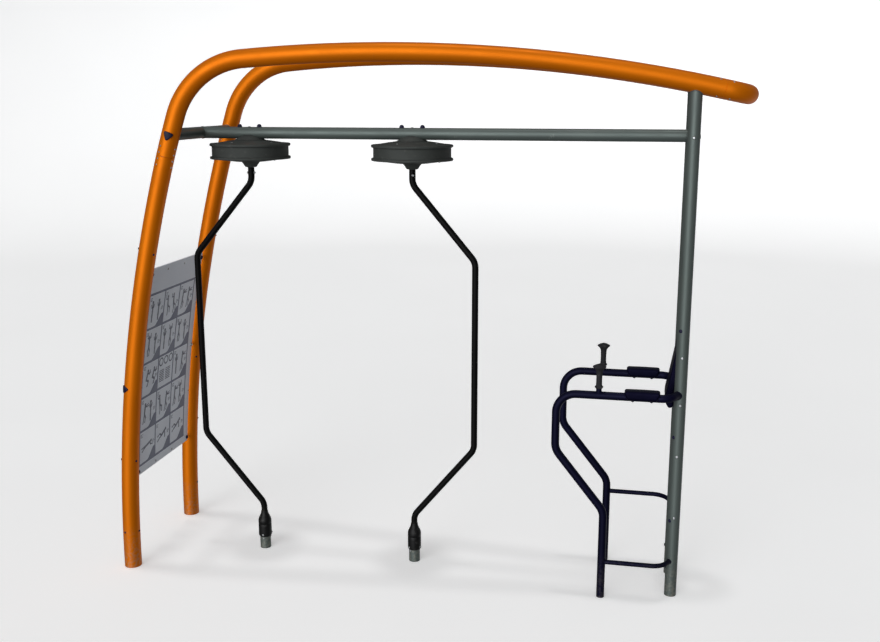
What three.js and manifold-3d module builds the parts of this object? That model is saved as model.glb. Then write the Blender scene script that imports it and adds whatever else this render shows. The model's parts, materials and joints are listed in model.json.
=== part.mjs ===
// Outdoor exercise station: a bent-tube arch on two legs and two posts, a crossbeam that carries two
// brake drums, each with a cranked pole that turns about a vertical axis, and a dip and leg-raise
// frame at the post end. Millimetres, +Z up. X runs along the station from the arch legs to the
// posts, Y runs across it, and Z = 0 is the ground. Dimensions along X are counted from the axis of
// the first crank; the last lines move the origin to the middle of the station, on the ground.
import * as THREE from "three";
import { mergeVertices } from "three/addons/utils/BufferGeometryUtils.js";
import Module from "manifold-3d";

// ---- Driving dimensions ----
const GAP = 0.3; // left between pieces that touch
const SIDES = ["front", "rear"]; // front is the -Y side
const ACROSS = { front: -1, rear: 1 };

// Arch: leg, sweeping top bend and arm in one outline on each side, joined by a U bend
const ARCH_R = 57.15;
const ARCH_WALL = 3.6;
const LEG_FOOT_X = -790;
const LEG_HALF_WIDTH = 463;
const LEG_BEND_R = 9700;
const LEG_TURN = 18.3; // degrees, from vertical at the ground to the top bend
const LEG_SPLICE_Z = 2800;
const TOP_BEND_R = 500;
const TOP_TURN = 66.7;
const ARM_BEND_R = 9600;
const ARM_RISE = 5; // slope where the arm leaves the top bend
const ARM_END_X = 3000; // where the U bend is joined on
const TAPER = 0.0943; // how fast the arms close in, across per unit of length
const END_STUB = 22.2; // straight stretch at each end of the U bend
const SLEEVE_LENGTH = 170;
const SLEEVE_R = 51;
const SLEEVE_WALL = 4;
const SPIGOT = { r: 47, wall: 4, outside: 80, inside: 20, collarFrom: 4, collarR: 55, collarWall: 10 };

// Beam, cross tubes and posts
const BEAM_R = 38.05;
const BEAM_WALL = 3.2;
const BEAM_Z = 2930;
const POST_X = 2839;
const POST_HALF_WIDTH = 160;

// Cranks and their brake drums
const CRANKS = [
  { name: "left", x: 0, reach: -1, boltTurn: 0 },
  { name: "right", x: 1098, reach: 1, boltTurn: -70 },
]; // reach: which way the pole is cranked at rest; boltTurn: degrees from +X to the cross bolt
const POLE_R = 21.2;
const POLE_WALL = 3;
const POLE_REACH = 415; // from the turning axis to the outer stretch
const POLE_BEND_R = 100;
const POLE_TOP_Z = 2703.5;
const POLE_CORNERS_Z = [2609, 2114, 837, 335];
const POLE_FOOT_Z = 132;
const CROSS_BOLT = { z: 2669, shankR: 4.9, headR: 8.5, headHeight: 8 };
const SPINDLE_R = 17; // where it is fixed in the pole
const DRUM_R = 263; // at the two rims
const DRUM_WAIST_R = 250;
const DRUM_TOP_RIM_Z = 2854;
const DRUM_LOW_RIM_Z = 2770;
const RIM_HALF = 8;
const SADDLE_R = 98;
const SADDLE_SEAT_Z = 2884; // where the saddle rests on the top cover
const HUB_BOTTOM_Z = 2706;
const UPPER_BEARING = { bore: 12.2, outer: 21, bottom: 2867, top: 2879 };
const LOWER_BEARING = { bore: 18.8, outer: 30, bottom: 2714.5, top: 2732 };
const MAGNETS = { bore: 140, outer: 215, bottom: 2770, top: 2801 };
const ROTOR = { bore: 21, outer: 225, bottom: 2806.5, top: 2814 };
const BEAM_BOLT_X = 68; // each side of the drum's axis
const BEAM_BOLT = { r: 6, holeR: 6.6, bottom: 2874, headR: 15, headHeight: 19 };
const STUB_TOP_Z = 150;
const CUP_R = 46;
const CUP_BOTTOM_Z = 87;
const CUP_TOP_Z = 181;
const CUP_MOUTH_R = 30;
const CUP_BORE = BEAM_R + 0.7; // the cup slips over the stub post
const FOOT_BEARING = { bore: 22.4, outer: 29, bottom: 153, top: 176 };
const BOOT_TOP_Z = 276;

// Dip and leg-raise frame
const DIP_R = 25.4;
const DIP_WALL = 3.2;
const DIP_HALF_WIDTH = 280;
const DIP_FOOT_X = 2395;
const DIP_FRONT_X = 2080;
const DIP_LOW_CORNER_Z = 588;
const DIP_HIGH_CORNER_Z = 982;
const DIP_BAR_Z = 1351;
const DIP_TURN_IN_X = 2770; // where the bar turns in towards its post
const DIP_BEND_RADII = [125, 125, 125, 90]; // from the foot up to the turn in towards the post
const STEP_R = 15;
const STEP_WALL = 2.6;
const STEP_Z = { front: 242, rear: 508 };
const STEP_BEND_R = 110;
const HANDLE_X = 2342;
const STEM_R = 17.3;
const STEM_CORE_R = 12;
const STEM_SHOULDER_Z = 1398;
const GRIP_TOP_Z = 1553;
const GRIP_BORE_DEPTH = 22; // from the top of the grip down to the end of its bore
const ARM_PAD = { from: 2499, to: 2715, bottom: 1340, top: 1397, width: 85, round: 20, chamfer: 14 };
const BACK_PAD_WIDTH = 236;
const BACK_PAD_THICKNESS = 50;
const BACK_PAD_STEPS = 12;
const BACK_PAD_FRONT = [
  [2771, 1238],
  [2746, 1304],
  [2770, 1442],
  [2805, 1645],
  [2814, 1702],
]; // front face in side view, from the bottom up
const PAD_BAR = { width: 40, thickness: 6, behind: 25, heights: { low: 1289, high: 1591 } };
const PAD_SPACER = { r: 13, across: 70 };

// Exercise sign, a panel between the legs that follows their curve
const SIGN_INSET = 8; // from the axis of the legs towards the middle of their curve
const SIGN_BOTTOM_Z = 620;
const SIGN_TOP_Z = 2062;
const SIGN_STEPS = 16;
const SIGN_WIDTH = 784;
const SIGN_THICKNESS = 12;
const LUG = { across: 44, along: 40, thickness: 4, inner: 372 };
const LUG_HEIGHTS = [0.02, 0.52, 0.975]; // up the sign, as fractions of its length

// Number of flat sides on round pieces
const TUBE_SIDES = 12;
const THIN_SIDES = 10;
const DRUM_SIDES = 20;
const HUB_SIDES = 16;
const SMALL_SIDES = 12;
const HOLE_SIDES = 8;

const ROUND = Math.PI * 2;
const rad = THREE.MathUtils.degToRad;
const deg = THREE.MathUtils.radToDeg;

// ---- Colours and finishes ----
const finishes = {
  orange: { color: 0xe87a10, roughness: 0.42, metalness: 0.1 },
  greyGreen: { color: 0x646e6a, roughness: 0.45, metalness: 0.25 },
  navy: { color: 0x12102a, roughness: 0.5, metalness: 0.1 },
  black: { color: 0x121212, roughness: 0.5, metalness: 0.1 },
  drumShell: { color: 0x282a29, roughness: 0.62, metalness: 0 },
  rubber: { color: 0x2d2e2e, roughness: 0.75, metalness: 0 },
  pad: { color: 0x15132e, roughness: 0.68, metalness: 0 },
  signPanel: { color: 0x747983, roughness: 0.5, metalness: 0 },
  steel: { color: 0x9a9c9e, roughness: 0.35, metalness: 0.9 },
  aluminium: { color: 0xb4b7ba, roughness: 0.4, metalness: 0.85 },
  magnet: { color: 0x55585c, roughness: 0.4, metalness: 0.8 },
};

function node(name, geometry, finish) {
  const mesh = new THREE.Mesh(geometry, new THREE.MeshStandardMaterial(finishes[finish]));
  mesh.name = name;
  return mesh;
}

// ---- Joining and cutting ----
const wasm = await Module();
wasm.setup();

function toSolid(geometry) {
  const bare = geometry.clone();
  bare.deleteAttribute("normal");
  bare.deleteAttribute("uv");
  const merged = mergeVertices(bare, 1e-3);
  return new wasm.Manifold(
    new wasm.Mesh({
      numProp: 3,
      vertProperties: merged.attributes.position.array,
      triVerts: new Uint32Array(merged.index.array),
    }),
  );
}

function toGeometry(solid) {
  const mesh = solid.getMesh();
  const geometry = new THREE.BufferGeometry();
  geometry.setAttribute("position", new THREE.BufferAttribute(mesh.vertProperties, 3));
  geometry.setIndex(new THREE.BufferAttribute(mesh.triVerts, 1));
  return geometry;
}

const join = (base, ...others) =>
  toGeometry(others.reduce((solid, other) => solid.add(toSolid(other)), toSolid(base)));
const cut = (base, ...others) =>
  toGeometry(others.reduce((solid, other) => solid.subtract(toSolid(other)), toSolid(base)));

// ---- Shapes ----
// A curve given by stations, each a point and a direction; straight stretches take one step.
class StationCurve extends THREE.Curve {
  constructor(stations) {
    super();
    this.stations = stations;
  }
  get steps() {
    return this.stations.length - 1;
  }
  stationAt(t) {
    return this.stations[Math.round(t * this.steps)];
  }
  getPoint(t) {
    return this.stationAt(t).point.clone();
  }
  getTangent(t) {
    return this.stationAt(t).direction.clone();
  }
  getUtoTmapping(u) {
    return u;
  }
}

// Stations of a chain of straight stretches and clockwise arcs in a plane with coordinates a and b.
function chain(start, heading, moves) {
  const stations = [{ ...start, heading }];
  let { a, b } = start;
  for (const move of moves) {
    if (move.length) {
      a += move.length * Math.cos(rad(heading));
      b += move.length * Math.sin(rad(heading));
      stations.push({ a, b, heading });
      continue;
    }
    for (let i = 0; i < move.steps; i++) {
      const next = heading - move.turn / move.steps;
      a += move.radius * (Math.sin(rad(heading)) - Math.sin(rad(next)));
      b += move.radius * (Math.cos(rad(next)) - Math.cos(rad(heading)));
      heading = next;
      stations.push({ a, b, heading });
    }
  }
  return stations;
}

// Stations of a path through corners, rounded with one bend radius or with a list of one for each.
function bentPath(corners, bendRadii, degreesPerStep) {
  const points = corners.map((c) => new THREE.Vector3(...c));
  const directions = points.slice(1).map((p, i) => p.clone().sub(points[i]).normalize());
  const stations = [{ point: points[0], direction: directions[0] }];
  for (let i = 1; i < points.length - 1; i++) {
    const [into, out] = [directions[i - 1], directions[i]];
    const turn = into.angleTo(out);
    const bendRadius = Array.isArray(bendRadii) ? bendRadii[i - 1] : bendRadii;
    const back = bendRadius * Math.tan(turn / 2);
    const begin = points[i].clone().addScaledVector(into, -back);
    const inward = out.clone().addScaledVector(into, -Math.cos(turn)).normalize();
    const steps = Math.ceil(deg(turn) / degreesPerStep);
    for (let k = 0; k <= steps; k++) {
      const angle = (turn * k) / steps;
      stations.push({
        point: begin
          .clone()
          .addScaledVector(into, bendRadius * Math.sin(angle))
          .addScaledVector(inward, bendRadius * (1 - Math.cos(angle))),
        direction: into
          .clone()
          .multiplyScalar(Math.cos(angle))
          .addScaledVector(inward, Math.sin(angle)),
      });
    }
  }
  stations.push({ point: points.at(-1), direction: directions.at(-1) });
  return new StationCurve(stations);
}

const straight = (from, to) => bentPath([from, to], 1, 1);

function disc(radius, sides) {
  const shape = new THREE.Shape();
  for (let i = 0; i <= sides; i++) {
    const angle = (ROUND * i) / sides;
    shape[i ? "lineTo" : "moveTo"](radius * Math.cos(angle), radius * Math.sin(angle));
  }
  return shape;
}

function tube(curve, radius, wall, sides) {
  const section = disc(radius, sides);
  section.holes.push(disc(radius - wall, sides));
  return new THREE.ExtrudeGeometry(section, { extrudePath: curve, steps: curve.steps });
}

const rod = (curve, radius, sides) =>
  new THREE.ExtrudeGeometry(disc(radius, sides), { extrudePath: curve, steps: curve.steps });

// A turned piece about a vertical axis. The profile is a closed loop of [radius, height] corners,
// or it starts and ends on the axis, going up the outside.
function turned(profile, segments) {
  const points = profile.map(([r, z]) => new THREE.Vector2(r, z));
  if (points[0].x > 0) points.push(points[0].clone());
  return new THREE.LatheGeometry(points, segments).rotateX(Math.PI / 2);
}

function turnedBetween(inner, outer, bottom, top, segments) {
  return turned(
    [
      [inner, bottom],
      [outer, bottom],
      [outer, top],
      [inner, top],
    ],
    segments,
  );
}

// ---- Arch ----
const legSpliceTurn = deg(Math.asin(LEG_SPLICE_Z / LEG_BEND_R));
const topBendStart = { sin: Math.sin(rad(90 - LEG_TURN)), cos: Math.cos(rad(90 - LEG_TURN)) };
const armStartX =
  LEG_FOOT_X +
  LEG_BEND_R * (1 - topBendStart.sin) +
  TOP_BEND_R * (topBendStart.sin - Math.sin(rad(ARM_RISE)));
const armEndSlope = deg(Math.asin((ARM_END_X - armStartX) / ARM_BEND_R - Math.sin(rad(ARM_RISE))));
const spliceX = LEG_FOOT_X + LEG_BEND_R * (1 - Math.cos(rad(legSpliceTurn)));
const armHalfWidth = (x) => LEG_HALF_WIDTH - TAPER * Math.max(0, x - spliceX);
// The legs stand straight up across the station and the arms close in: at the splice both are
// cut along the plane between the two directions.
const taperAt = (x) => (TAPER * (1 + Math.sign(Math.round(x - spliceX)))) / 2;

const legMoves = [{ radius: LEG_BEND_R, turn: legSpliceTurn - deg(GAP / LEG_BEND_R), steps: 7 }];
const armMoves = [
  { radius: LEG_BEND_R, turn: LEG_TURN - legSpliceTurn, steps: 1 },
  { radius: TOP_BEND_R, turn: TOP_TURN, steps: 7 },
  { radius: ARM_BEND_R, turn: ARM_RISE, steps: 2 },
  { radius: ARM_BEND_R, turn: armEndSlope, steps: 5 },
];

// Stations in the XZ plane, spread to their place across the station.
function spread(stations, across) {
  return new StationCurve(
    stations.map(({ a, b, heading }) => {
      const forward = Math.cos(rad(heading));
      const taper = taperAt(a);
      return {
        point: new THREE.Vector3(a, across * armHalfWidth(a), b),
        direction: new THREE.Vector3(
          forward,
          -across * taper * forward,
          Math.sin(rad(heading)),
        ).normalize(),
      };
    }),
  );
}

const legStations = chain({ a: LEG_FOOT_X, b: 0 }, 90, legMoves);
const splice = { a: spliceX, b: LEG_SPLICE_Z };
const armStations = chain(splice, 90 - legSpliceTurn, armMoves);
const armEnd = armStations.at(-1);

// A point on the legs' curve, as x and z, at a turn in degrees from the ground.
function onLegCurve(turn, inset) {
  const radius = LEG_BEND_R - inset;
  return [LEG_FOOT_X + LEG_BEND_R - radius * Math.cos(rad(turn)), radius * Math.sin(rad(turn))];
}

const turnAtHeight = (z) => deg(Math.asin(z / (LEG_BEND_R - SIGN_INSET)));
const signFrom = turnAtHeight(SIGN_BOTTOM_Z);
const signTo = turnAtHeight(SIGN_TOP_Z);

// A flat lug welded to a leg, just behind the sign, at a fraction of the sign's length.
function signLug(across, fraction) {
  const { across: reach, along, thickness, inner } = LUG;
  const turn = signFrom + fraction * (signTo - signFrom);
  const [x, z] = onLegCurve(turn, SIGN_INSET - SIGN_THICKNESS / 2 - GAP - thickness / 2);
  const lug = new THREE.BoxGeometry(thickness, reach, along);
  return lug.rotateY(rad(turn)).translate(x, across * (inner + reach / 2), z);
}

function legTube(across) {
  const leg = tube(spread(legStations, across), ARCH_R, ARCH_WALL, TUBE_SIDES);
  return join(leg, ...LUG_HEIGHTS.map((fraction) => signLug(across, fraction)));
}

// A sleeve inside the leg and arch tubes where they are joined end to end.
function legSplice(across) {
  const halfTurn = deg(SLEEVE_LENGTH / 2 / LEG_BEND_R);
  const below = legSpliceTurn - halfTurn;
  const start = {
    a: LEG_FOOT_X + LEG_BEND_R * (1 - Math.cos(rad(below))),
    b: LEG_BEND_R * Math.sin(rad(below)),
  };
  const stations = chain(start, 90 - below, [
    { radius: LEG_BEND_R, turn: 2 * halfTurn, steps: 1 },
  ]);
  return tube(spread(stations, across), SLEEVE_R, SLEEVE_WALL, TUBE_SIDES);
}

// The U bend lies in a plane that carries on down the arms' slope. A spigot is welded into each end
// by its collar, and slides into the arm.
function endBend() {
  const closing = deg(Math.atan(TAPER * Math.cos(rad(armEndSlope))));
  const halfWidth = armHalfWidth(ARM_END_X);
  const radius = (halfWidth - END_STUB * Math.sin(rad(closing))) / Math.cos(rad(closing));
  const stations = chain({ a: GAP, b: halfWidth }, -closing, [
    { length: END_STUB },
    { radius, turn: 180 - 2 * closing, steps: 10 },
    { length: END_STUB },
  ]);
  const slope = rad(armEndSlope);
  const along = new THREE.Vector3(Math.cos(slope), 0, -Math.sin(slope));
  const origin = new THREE.Vector3(armEnd.a, 0, armEnd.b);
  const curve = new StationCurve(
    stations.map(({ a, b, heading }) => ({
      point: origin.clone().addScaledVector(along, a).setY(b),
      direction: along
        .clone()
        .multiplyScalar(Math.cos(rad(heading)))
        .setY(Math.sin(rad(heading))),
    })),
  );
  const ends = [curve.stations[0], curve.stations.at(-1)];
  const spigots = ends.flatMap(({ point, direction }, i) => {
    const inward = direction.clone().multiplyScalar(i ? -1 : 1);
    const at = (distance) => point.clone().addScaledVector(inward, distance).toArray();
    const { r, wall, outside, inside, collarFrom, collarR, collarWall } = SPIGOT;
    return [
      tube(straight(at(-outside), at(inside)), r, wall, TUBE_SIDES),
      tube(straight(at(collarFrom), at(inside)), collarR, collarWall, TUBE_SIDES),
    ];
  });
  return join(tube(curve, ARCH_R, ARCH_WALL, TUBE_SIDES), ...spigots);
}

// The outside of an arch tube with a gap round it, for cutting the pieces that meet it.
const archCutter = (across) => rod(spread(armStations, across), ARCH_R + GAP, TUBE_SIDES);

// ---- Beam, cross tubes and posts ----
const beamLevelTurn = deg(Math.asin(BEAM_Z / LEG_BEND_R));
const leftCrossX = LEG_FOOT_X + LEG_BEND_R * (1 - Math.cos(rad(beamLevelTurn)));
const postSlope = deg(Math.asin((POST_X - armStartX) / ARM_BEND_R - Math.sin(rad(ARM_RISE))));
const armAtPostZ =
  armEnd.b + ARM_BEND_R * (Math.cos(rad(postSlope)) - Math.cos(rad(armEndSlope)));

// The outside of a post with a gap round it, at one height.
function postCutter(across, z) {
  const y = across * POST_HALF_WIDTH;
  return rod(straight([POST_X, y, z - 60], [POST_X, y, z + 60]), BEAM_R + GAP, TUBE_SIDES);
}

function leftCrossTube() {
  const reach = armHalfWidth(leftCrossX);
  const whole = tube(
    straight([leftCrossX, -reach, BEAM_Z], [leftCrossX, reach, BEAM_Z]),
    BEAM_R,
    BEAM_WALL,
    TUBE_SIDES,
  );
  return cut(whole, ...SIDES.map((side) => archCutter(ACROSS[side])));
}

function rightCrossTube() {
  const whole = tube(
    straight([POST_X, -POST_HALF_WIDTH, BEAM_Z], [POST_X, POST_HALF_WIDTH, BEAM_Z]),
    BEAM_R,
    BEAM_WALL,
    TUBE_SIDES,
  );
  return cut(whole, ...SIDES.map((side) => postCutter(ACROSS[side], BEAM_Z)));
}

// The two bolt holes above a drum whose axis is at x.
const beamBoltHoles = (x) =>
  [-BEAM_BOLT_X, BEAM_BOLT_X].map((dx) =>
    rod(straight([x + dx, 0, BEAM_Z - 60], [x + dx, 0, BEAM_Z + 60]), BEAM_BOLT.holeR, HOLE_SIDES),
  );

function crossbeam() {
  const axis = straight([leftCrossX, 0, BEAM_Z], [POST_X, 0, BEAM_Z]);
  const crossTubes = [leftCrossX, POST_X].map((x) =>
    rod(straight([x, -100, BEAM_Z], [x, 100, BEAM_Z]), BEAM_R + GAP, TUBE_SIDES),
  );
  const boltHoles = CRANKS.flatMap(({ x }) => beamBoltHoles(x));
  return cut(tube(axis, BEAM_R, BEAM_WALL, TUBE_SIDES), ...crossTubes, ...boltHoles);
}

function post(across) {
  const y = across * POST_HALF_WIDTH;
  const axis = straight([POST_X, y, 0], [POST_X, y, armAtPostZ]);
  return cut(tube(axis, BEAM_R, BEAM_WALL, TUBE_SIDES), archCutter(across));
}

// ---- Dip and leg-raise frame ----
function dipPath(across) {
  const y = across * DIP_HALF_WIDTH;
  return bentPath(
    [
      [DIP_FOOT_X, y, 0],
      [DIP_FOOT_X, y, DIP_LOW_CORNER_Z],
      [DIP_FRONT_X, y, DIP_HIGH_CORNER_Z],
      [DIP_FRONT_X, y, DIP_BAR_Z],
      [DIP_TURN_IN_X, y, DIP_BAR_Z],
      [POST_X, across * POST_HALF_WIDTH, DIP_BAR_Z],
    ],
    DIP_BEND_RADII,
    23,
  );
}

function dipTube(across) {
  const bar = cut(tube(dipPath(across), DIP_R, DIP_WALL, THIN_SIDES), postCutter(across, DIP_BAR_Z));
  const stemFoot = DIP_BAR_Z + 9;
  const stemTop = GRIP_TOP_Z - GRIP_BORE_DEPTH - 2;
  const stem = turned(
    [
      [0, stemFoot],
      [STEM_R, stemFoot],
      [STEM_R, STEM_SHOULDER_Z],
      [STEM_CORE_R, STEM_SHOULDER_Z],
      [STEM_CORE_R, stemTop],
      [0, stemTop],
    ],
    THIN_SIDES,
  ).translate(HANDLE_X, across * DIP_HALF_WIDTH, 0);
  return join(bar, stem);
}

function step(side) {
  const across = ACROSS[side];
  const z = STEP_Z[side];
  const y = across * DIP_HALF_WIDTH;
  const path = bentPath(
    [
      [DIP_FOOT_X, y, z],
      [DIP_TURN_IN_X, y, z],
      [POST_X, across * POST_HALF_WIDTH, z],
    ],
    STEP_BEND_R,
    20,
  );
  const leg = straight([DIP_FOOT_X, y, z - 40], [DIP_FOOT_X, y, z + 40]);
  const legCutter = rod(leg, DIP_R + GAP, THIN_SIDES);
  return cut(tube(path, STEP_R, STEP_WALL, THIN_SIDES), legCutter, postCutter(across, z));
}

// A rubber grip: a collar at the bottom, a waisted body and a flared top, with a blind bore.
function grip(across) {
  const base = STEM_SHOULDER_Z + GAP;
  const bore = STEM_CORE_R + GAP + 0.2;
  return turned(
    [
      [bore, base],
      [24, base],
      [25.5, base + 7],
      [19, base + 15],
      [18, base + 98],
      [26, base + 121],
      [40.5, GRIP_TOP_Z - 18],
      [30, GRIP_TOP_Z - 7],
      [6, GRIP_TOP_Z],
      [6, GRIP_TOP_Z - GRIP_BORE_DEPTH],
      [bore, GRIP_TOP_Z - GRIP_BORE_DEPTH],
    ],
    SMALL_SIDES,
  ).translate(HANDLE_X, across * DIP_HALF_WIDTH, 0);
}

// An arm pad sits over its bar like a saddle, open underneath.
function armPad(across) {
  const { from, to, bottom, top, width, round, chamfer } = ARM_PAD;
  const half = width / 2;
  const section = new THREE.Shape();
  section.moveTo(-half, bottom + chamfer);
  section.lineTo(-half, top - round);
  section.absarc(-half + round, top - round, round, Math.PI, Math.PI / 2, true);
  section.absarc(half - round, top - round, round, Math.PI / 2, 0, true);
  section.lineTo(half, bottom + chamfer);
  section.lineTo(half - chamfer, bottom);
  section.lineTo(chamfer - half, bottom);
  const block = new THREE.ExtrudeGeometry(section, {
    depth: to - from,
    bevelEnabled: false,
    curveSegments: 3,
  });
  const y = across * DIP_HALF_WIDTH;
  block.rotateX(Math.PI / 2).rotateZ(Math.PI / 2).translate(from, y, 0);
  const mouth = new THREE.BoxGeometry(to - from + 40, 2 * (DIP_R + GAP), 60);
  mouth.translate((from + to) / 2, y, DIP_BAR_Z - 60 / 2);
  return cut(block, rod(dipPath(across), DIP_R + GAP, THIN_SIDES), mouth);
}

const padFace = new THREE.SplineCurve(
  BACK_PAD_FRONT.map(([x, z]) => new THREE.Vector2(x, z)),
).getPoints(BACK_PAD_STEPS);

// The back pad is one curved plate between the posts, here grown by a margin on its back.
function backPad(margin = 0) {
  const depth = BACK_PAD_THICKNESS + margin;
  const back = padFace.map((p, i) => {
    const [before, after] = [padFace[Math.max(i - 1, 0)], padFace[Math.min(i + 1, BACK_PAD_STEPS)]];
    const along = after.clone().sub(before).normalize();
    return new THREE.Vector2(p.x + along.y * depth, p.y - along.x * depth);
  });
  const outline = new THREE.Shape([...padFace, ...back.reverse()]);
  const plate = new THREE.ExtrudeGeometry(outline, { depth: BACK_PAD_WIDTH, bevelEnabled: false });
  return plate.rotateX(Math.PI / 2).translate(0, BACK_PAD_WIDTH / 2, 0);
}

// Flat bars welded between the posts carry the back pad on two spacers each. A spacer is drawn into
// the middle of the pad and then cut off at the pad's back.
function padBar(z) {
  const { width, thickness, behind } = PAD_BAR;
  const x = POST_X + behind;
  const bar = new THREE.BoxGeometry(thickness, 2 * POST_HALF_WIDTH, width).translate(x, 0, z);
  const middleX = padFace.find((p) => p.y > z).x + BACK_PAD_THICKNESS / 2;
  const spacers = [-PAD_SPACER.across, PAD_SPACER.across].map((y) =>
    rod(straight([x, y, z], [middleX, y, z]), PAD_SPACER.r, THIN_SIDES),
  );
  const posts = SIDES.map((side) => postCutter(ACROSS[side], z));
  return cut(join(bar, ...spacers), backPad(GAP), ...posts);
}

// ---- Sign ----
function signPanel() {
  const face = (inset) =>
    Array.from({ length: SIGN_STEPS + 1 }, (_, i) => {
      const turn = signFrom + ((signTo - signFrom) * i) / SIGN_STEPS;
      return new THREE.Vector2(...onLegCurve(turn, inset));
    });
  const back = face(SIGN_INSET - SIGN_THICKNESS / 2);
  const front = face(SIGN_INSET + SIGN_THICKNESS / 2);
  const section = new THREE.Shape([...back, ...front.reverse()]);
  const panel = new THREE.ExtrudeGeometry(section, { depth: SIGN_WIDTH, bevelEnabled: false });
  panel.rotateX(Math.PI / 2).translate(0, SIGN_WIDTH / 2, 0);
  return node("sign_panel", panel, "signPanel");
}

// ---- Brake drum, hung under the beam ----
const ring = ({ bore, outer, bottom, top }, segments) =>
  turnedBetween(bore, outer, bottom, top, segments);

// The saddle clamps up against the beam and holds the upper bearing in its underside.
function drumSaddle() {
  const flange = SADDLE_SEAT_Z + GAP;
  const body = turned(
    [
      [0, UPPER_BEARING.top + 2],
      [UPPER_BEARING.outer + 1, UPPER_BEARING.top + 2],
      [UPPER_BEARING.outer + 1, UPPER_BEARING.bottom - 1],
      [85, UPPER_BEARING.bottom - 1],
      [85, flange],
      [SADDLE_R, flange],
      [SADDLE_R - 7, flange + 12],
      [76, flange + 26],
      [52, flange + 36],
      [0, flange + 36],
    ],
    DRUM_SIDES,
  );
  const beam = rod(straight([-150, 0, BEAM_Z], [150, 0, BEAM_Z]), BEAM_R + GAP, TUBE_SIDES);
  return cut(body, beam, ...beamBoltHoles(0));
}

function drumTopCover() {
  return turned(
    [
      [86, SADDLE_SEAT_Z - 7],
      [150, SADDLE_SEAT_Z - 15],
      [232, DRUM_TOP_RIM_Z - 3],
      [244, DRUM_TOP_RIM_Z - RIM_HALF],
      [DRUM_R, DRUM_TOP_RIM_Z - RIM_HALF],
      [DRUM_R, DRUM_TOP_RIM_Z + RIM_HALF],
      [240, DRUM_TOP_RIM_Z + RIM_HALF],
      [150, SADDLE_SEAT_Z - 7],
      [SADDLE_R, SADDLE_SEAT_Z],
      [86, SADDLE_SEAT_Z],
    ],
    DRUM_SIDES,
  );
}

function drumBand() {
  const bottom = DRUM_LOW_RIM_Z + RIM_HALF + GAP;
  const top = DRUM_TOP_RIM_Z - RIM_HALF - GAP;
  return turnedBetween(DRUM_WAIST_R - 5, DRUM_WAIST_R, bottom, top, DRUM_SIDES);
}

function drumBottomCover() {
  return turned(
    [
      [65, HUB_BOTTOM_Z + 36],
      [110, HUB_BOTTOM_Z + 39],
      [238, DRUM_LOW_RIM_Z - RIM_HALF],
      [DRUM_R, DRUM_LOW_RIM_Z - RIM_HALF],
      [DRUM_R, DRUM_LOW_RIM_Z + RIM_HALF],
      [244, DRUM_LOW_RIM_Z + RIM_HALF],
      [226, DRUM_LOW_RIM_Z - 1],
      [65, HUB_BOTTOM_Z + 43],
    ],
    DRUM_SIDES,
  );
}

// The hub cone closes the drum underneath and holds the lower bearing.
function hubCone() {
  const bearingSeat = LOWER_BEARING.bottom - 0.5;
  return turned(
    [
      [19.5, HUB_BOTTOM_Z],
      [37, HUB_BOTTOM_Z],
      [42, HUB_BOTTOM_Z + 10],
      [63.5, HUB_BOTTOM_Z + 35],
      [63.5, HUB_BOTTOM_Z + 43],
      [LOWER_BEARING.outer + 1, HUB_BOTTOM_Z + 43],
      [LOWER_BEARING.outer + 1, bearingSeat],
      [19.5, bearingSeat],
    ],
    HUB_SIDES,
  );
}

// The spindle is fixed in the top of the pole and carries the rotor.
function spindle(boltTurn) {
  const shoulder = POLE_TOP_Z + GAP;
  const shaft = turned(
    [
      [0, CROSS_BOLT.z - 25],
      [SPINDLE_R, CROSS_BOLT.z - 25],
      [SPINDLE_R, shoulder],
      [20.5, shoulder],
      [20.5, shoulder + 1.6],
      [LOWER_BEARING.bore - 0.8, shoulder + 1.6],
      [LOWER_BEARING.bore - 0.8, LOWER_BEARING.top + 4],
      [34, ROTOR.bottom - 14],
      [34, ROTOR.bottom - 0.5],
      [ROTOR.bore - 1, ROTOR.bottom - 0.5],
      [ROTOR.bore - 1, UPPER_BEARING.bottom - 17],
      [UPPER_BEARING.bore - 0.7, UPPER_BEARING.bottom - 17],
      [UPPER_BEARING.bore - 0.7, UPPER_BEARING.top + 1],
      [0, UPPER_BEARING.top + 1],
    ],
    SMALL_SIDES,
  );
  return cut(shaft, crossDrill(boltTurn));
}

// The hole for the cross bolt, through the spindle and the pole.
function crossDrill(boltTurn) {
  const { z, shankR } = CROSS_BOLT;
  return rod(straight([-50, 0, z], [50, 0, z]), shankR + 0.6, HOLE_SIDES).rotateZ(rad(boltTurn));
}

function crossBolt(boltTurn) {
  const { z, shankR, headR, headHeight } = CROSS_BOLT;
  const end = POLE_R + headHeight;
  const seat = POLE_R + GAP;
  const half = [
    [shankR, seat],
    [headR, seat],
    [headR, end - 4],
    [headR - 1.5, end],
    [0, end],
  ];
  const otherHalf = half.map(([r, height]) => [r, -height]).reverse();
  const bolt = turned([...otherHalf, ...half], SMALL_SIDES).rotateY(Math.PI / 2);
  return bolt.rotateZ(rad(boltTurn)).translate(0, 0, z);
}

function crankPole(reach, boltTurn) {
  const [top, outTop, outLow, low] = POLE_CORNERS_Z;
  const out = reach * POLE_REACH;
  const path = bentPath(
    [
      [0, 0, POLE_TOP_Z],
      [0, 0, top],
      [out, 0, outTop],
      [out, 0, outLow],
      [0, 0, low],
      [0, 0, POLE_FOOT_Z],
    ],
    POLE_BEND_R,
    20,
  );
  return cut(tube(path, POLE_R, POLE_WALL, THIN_SIDES), crossDrill(boltTurn));
}

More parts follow.
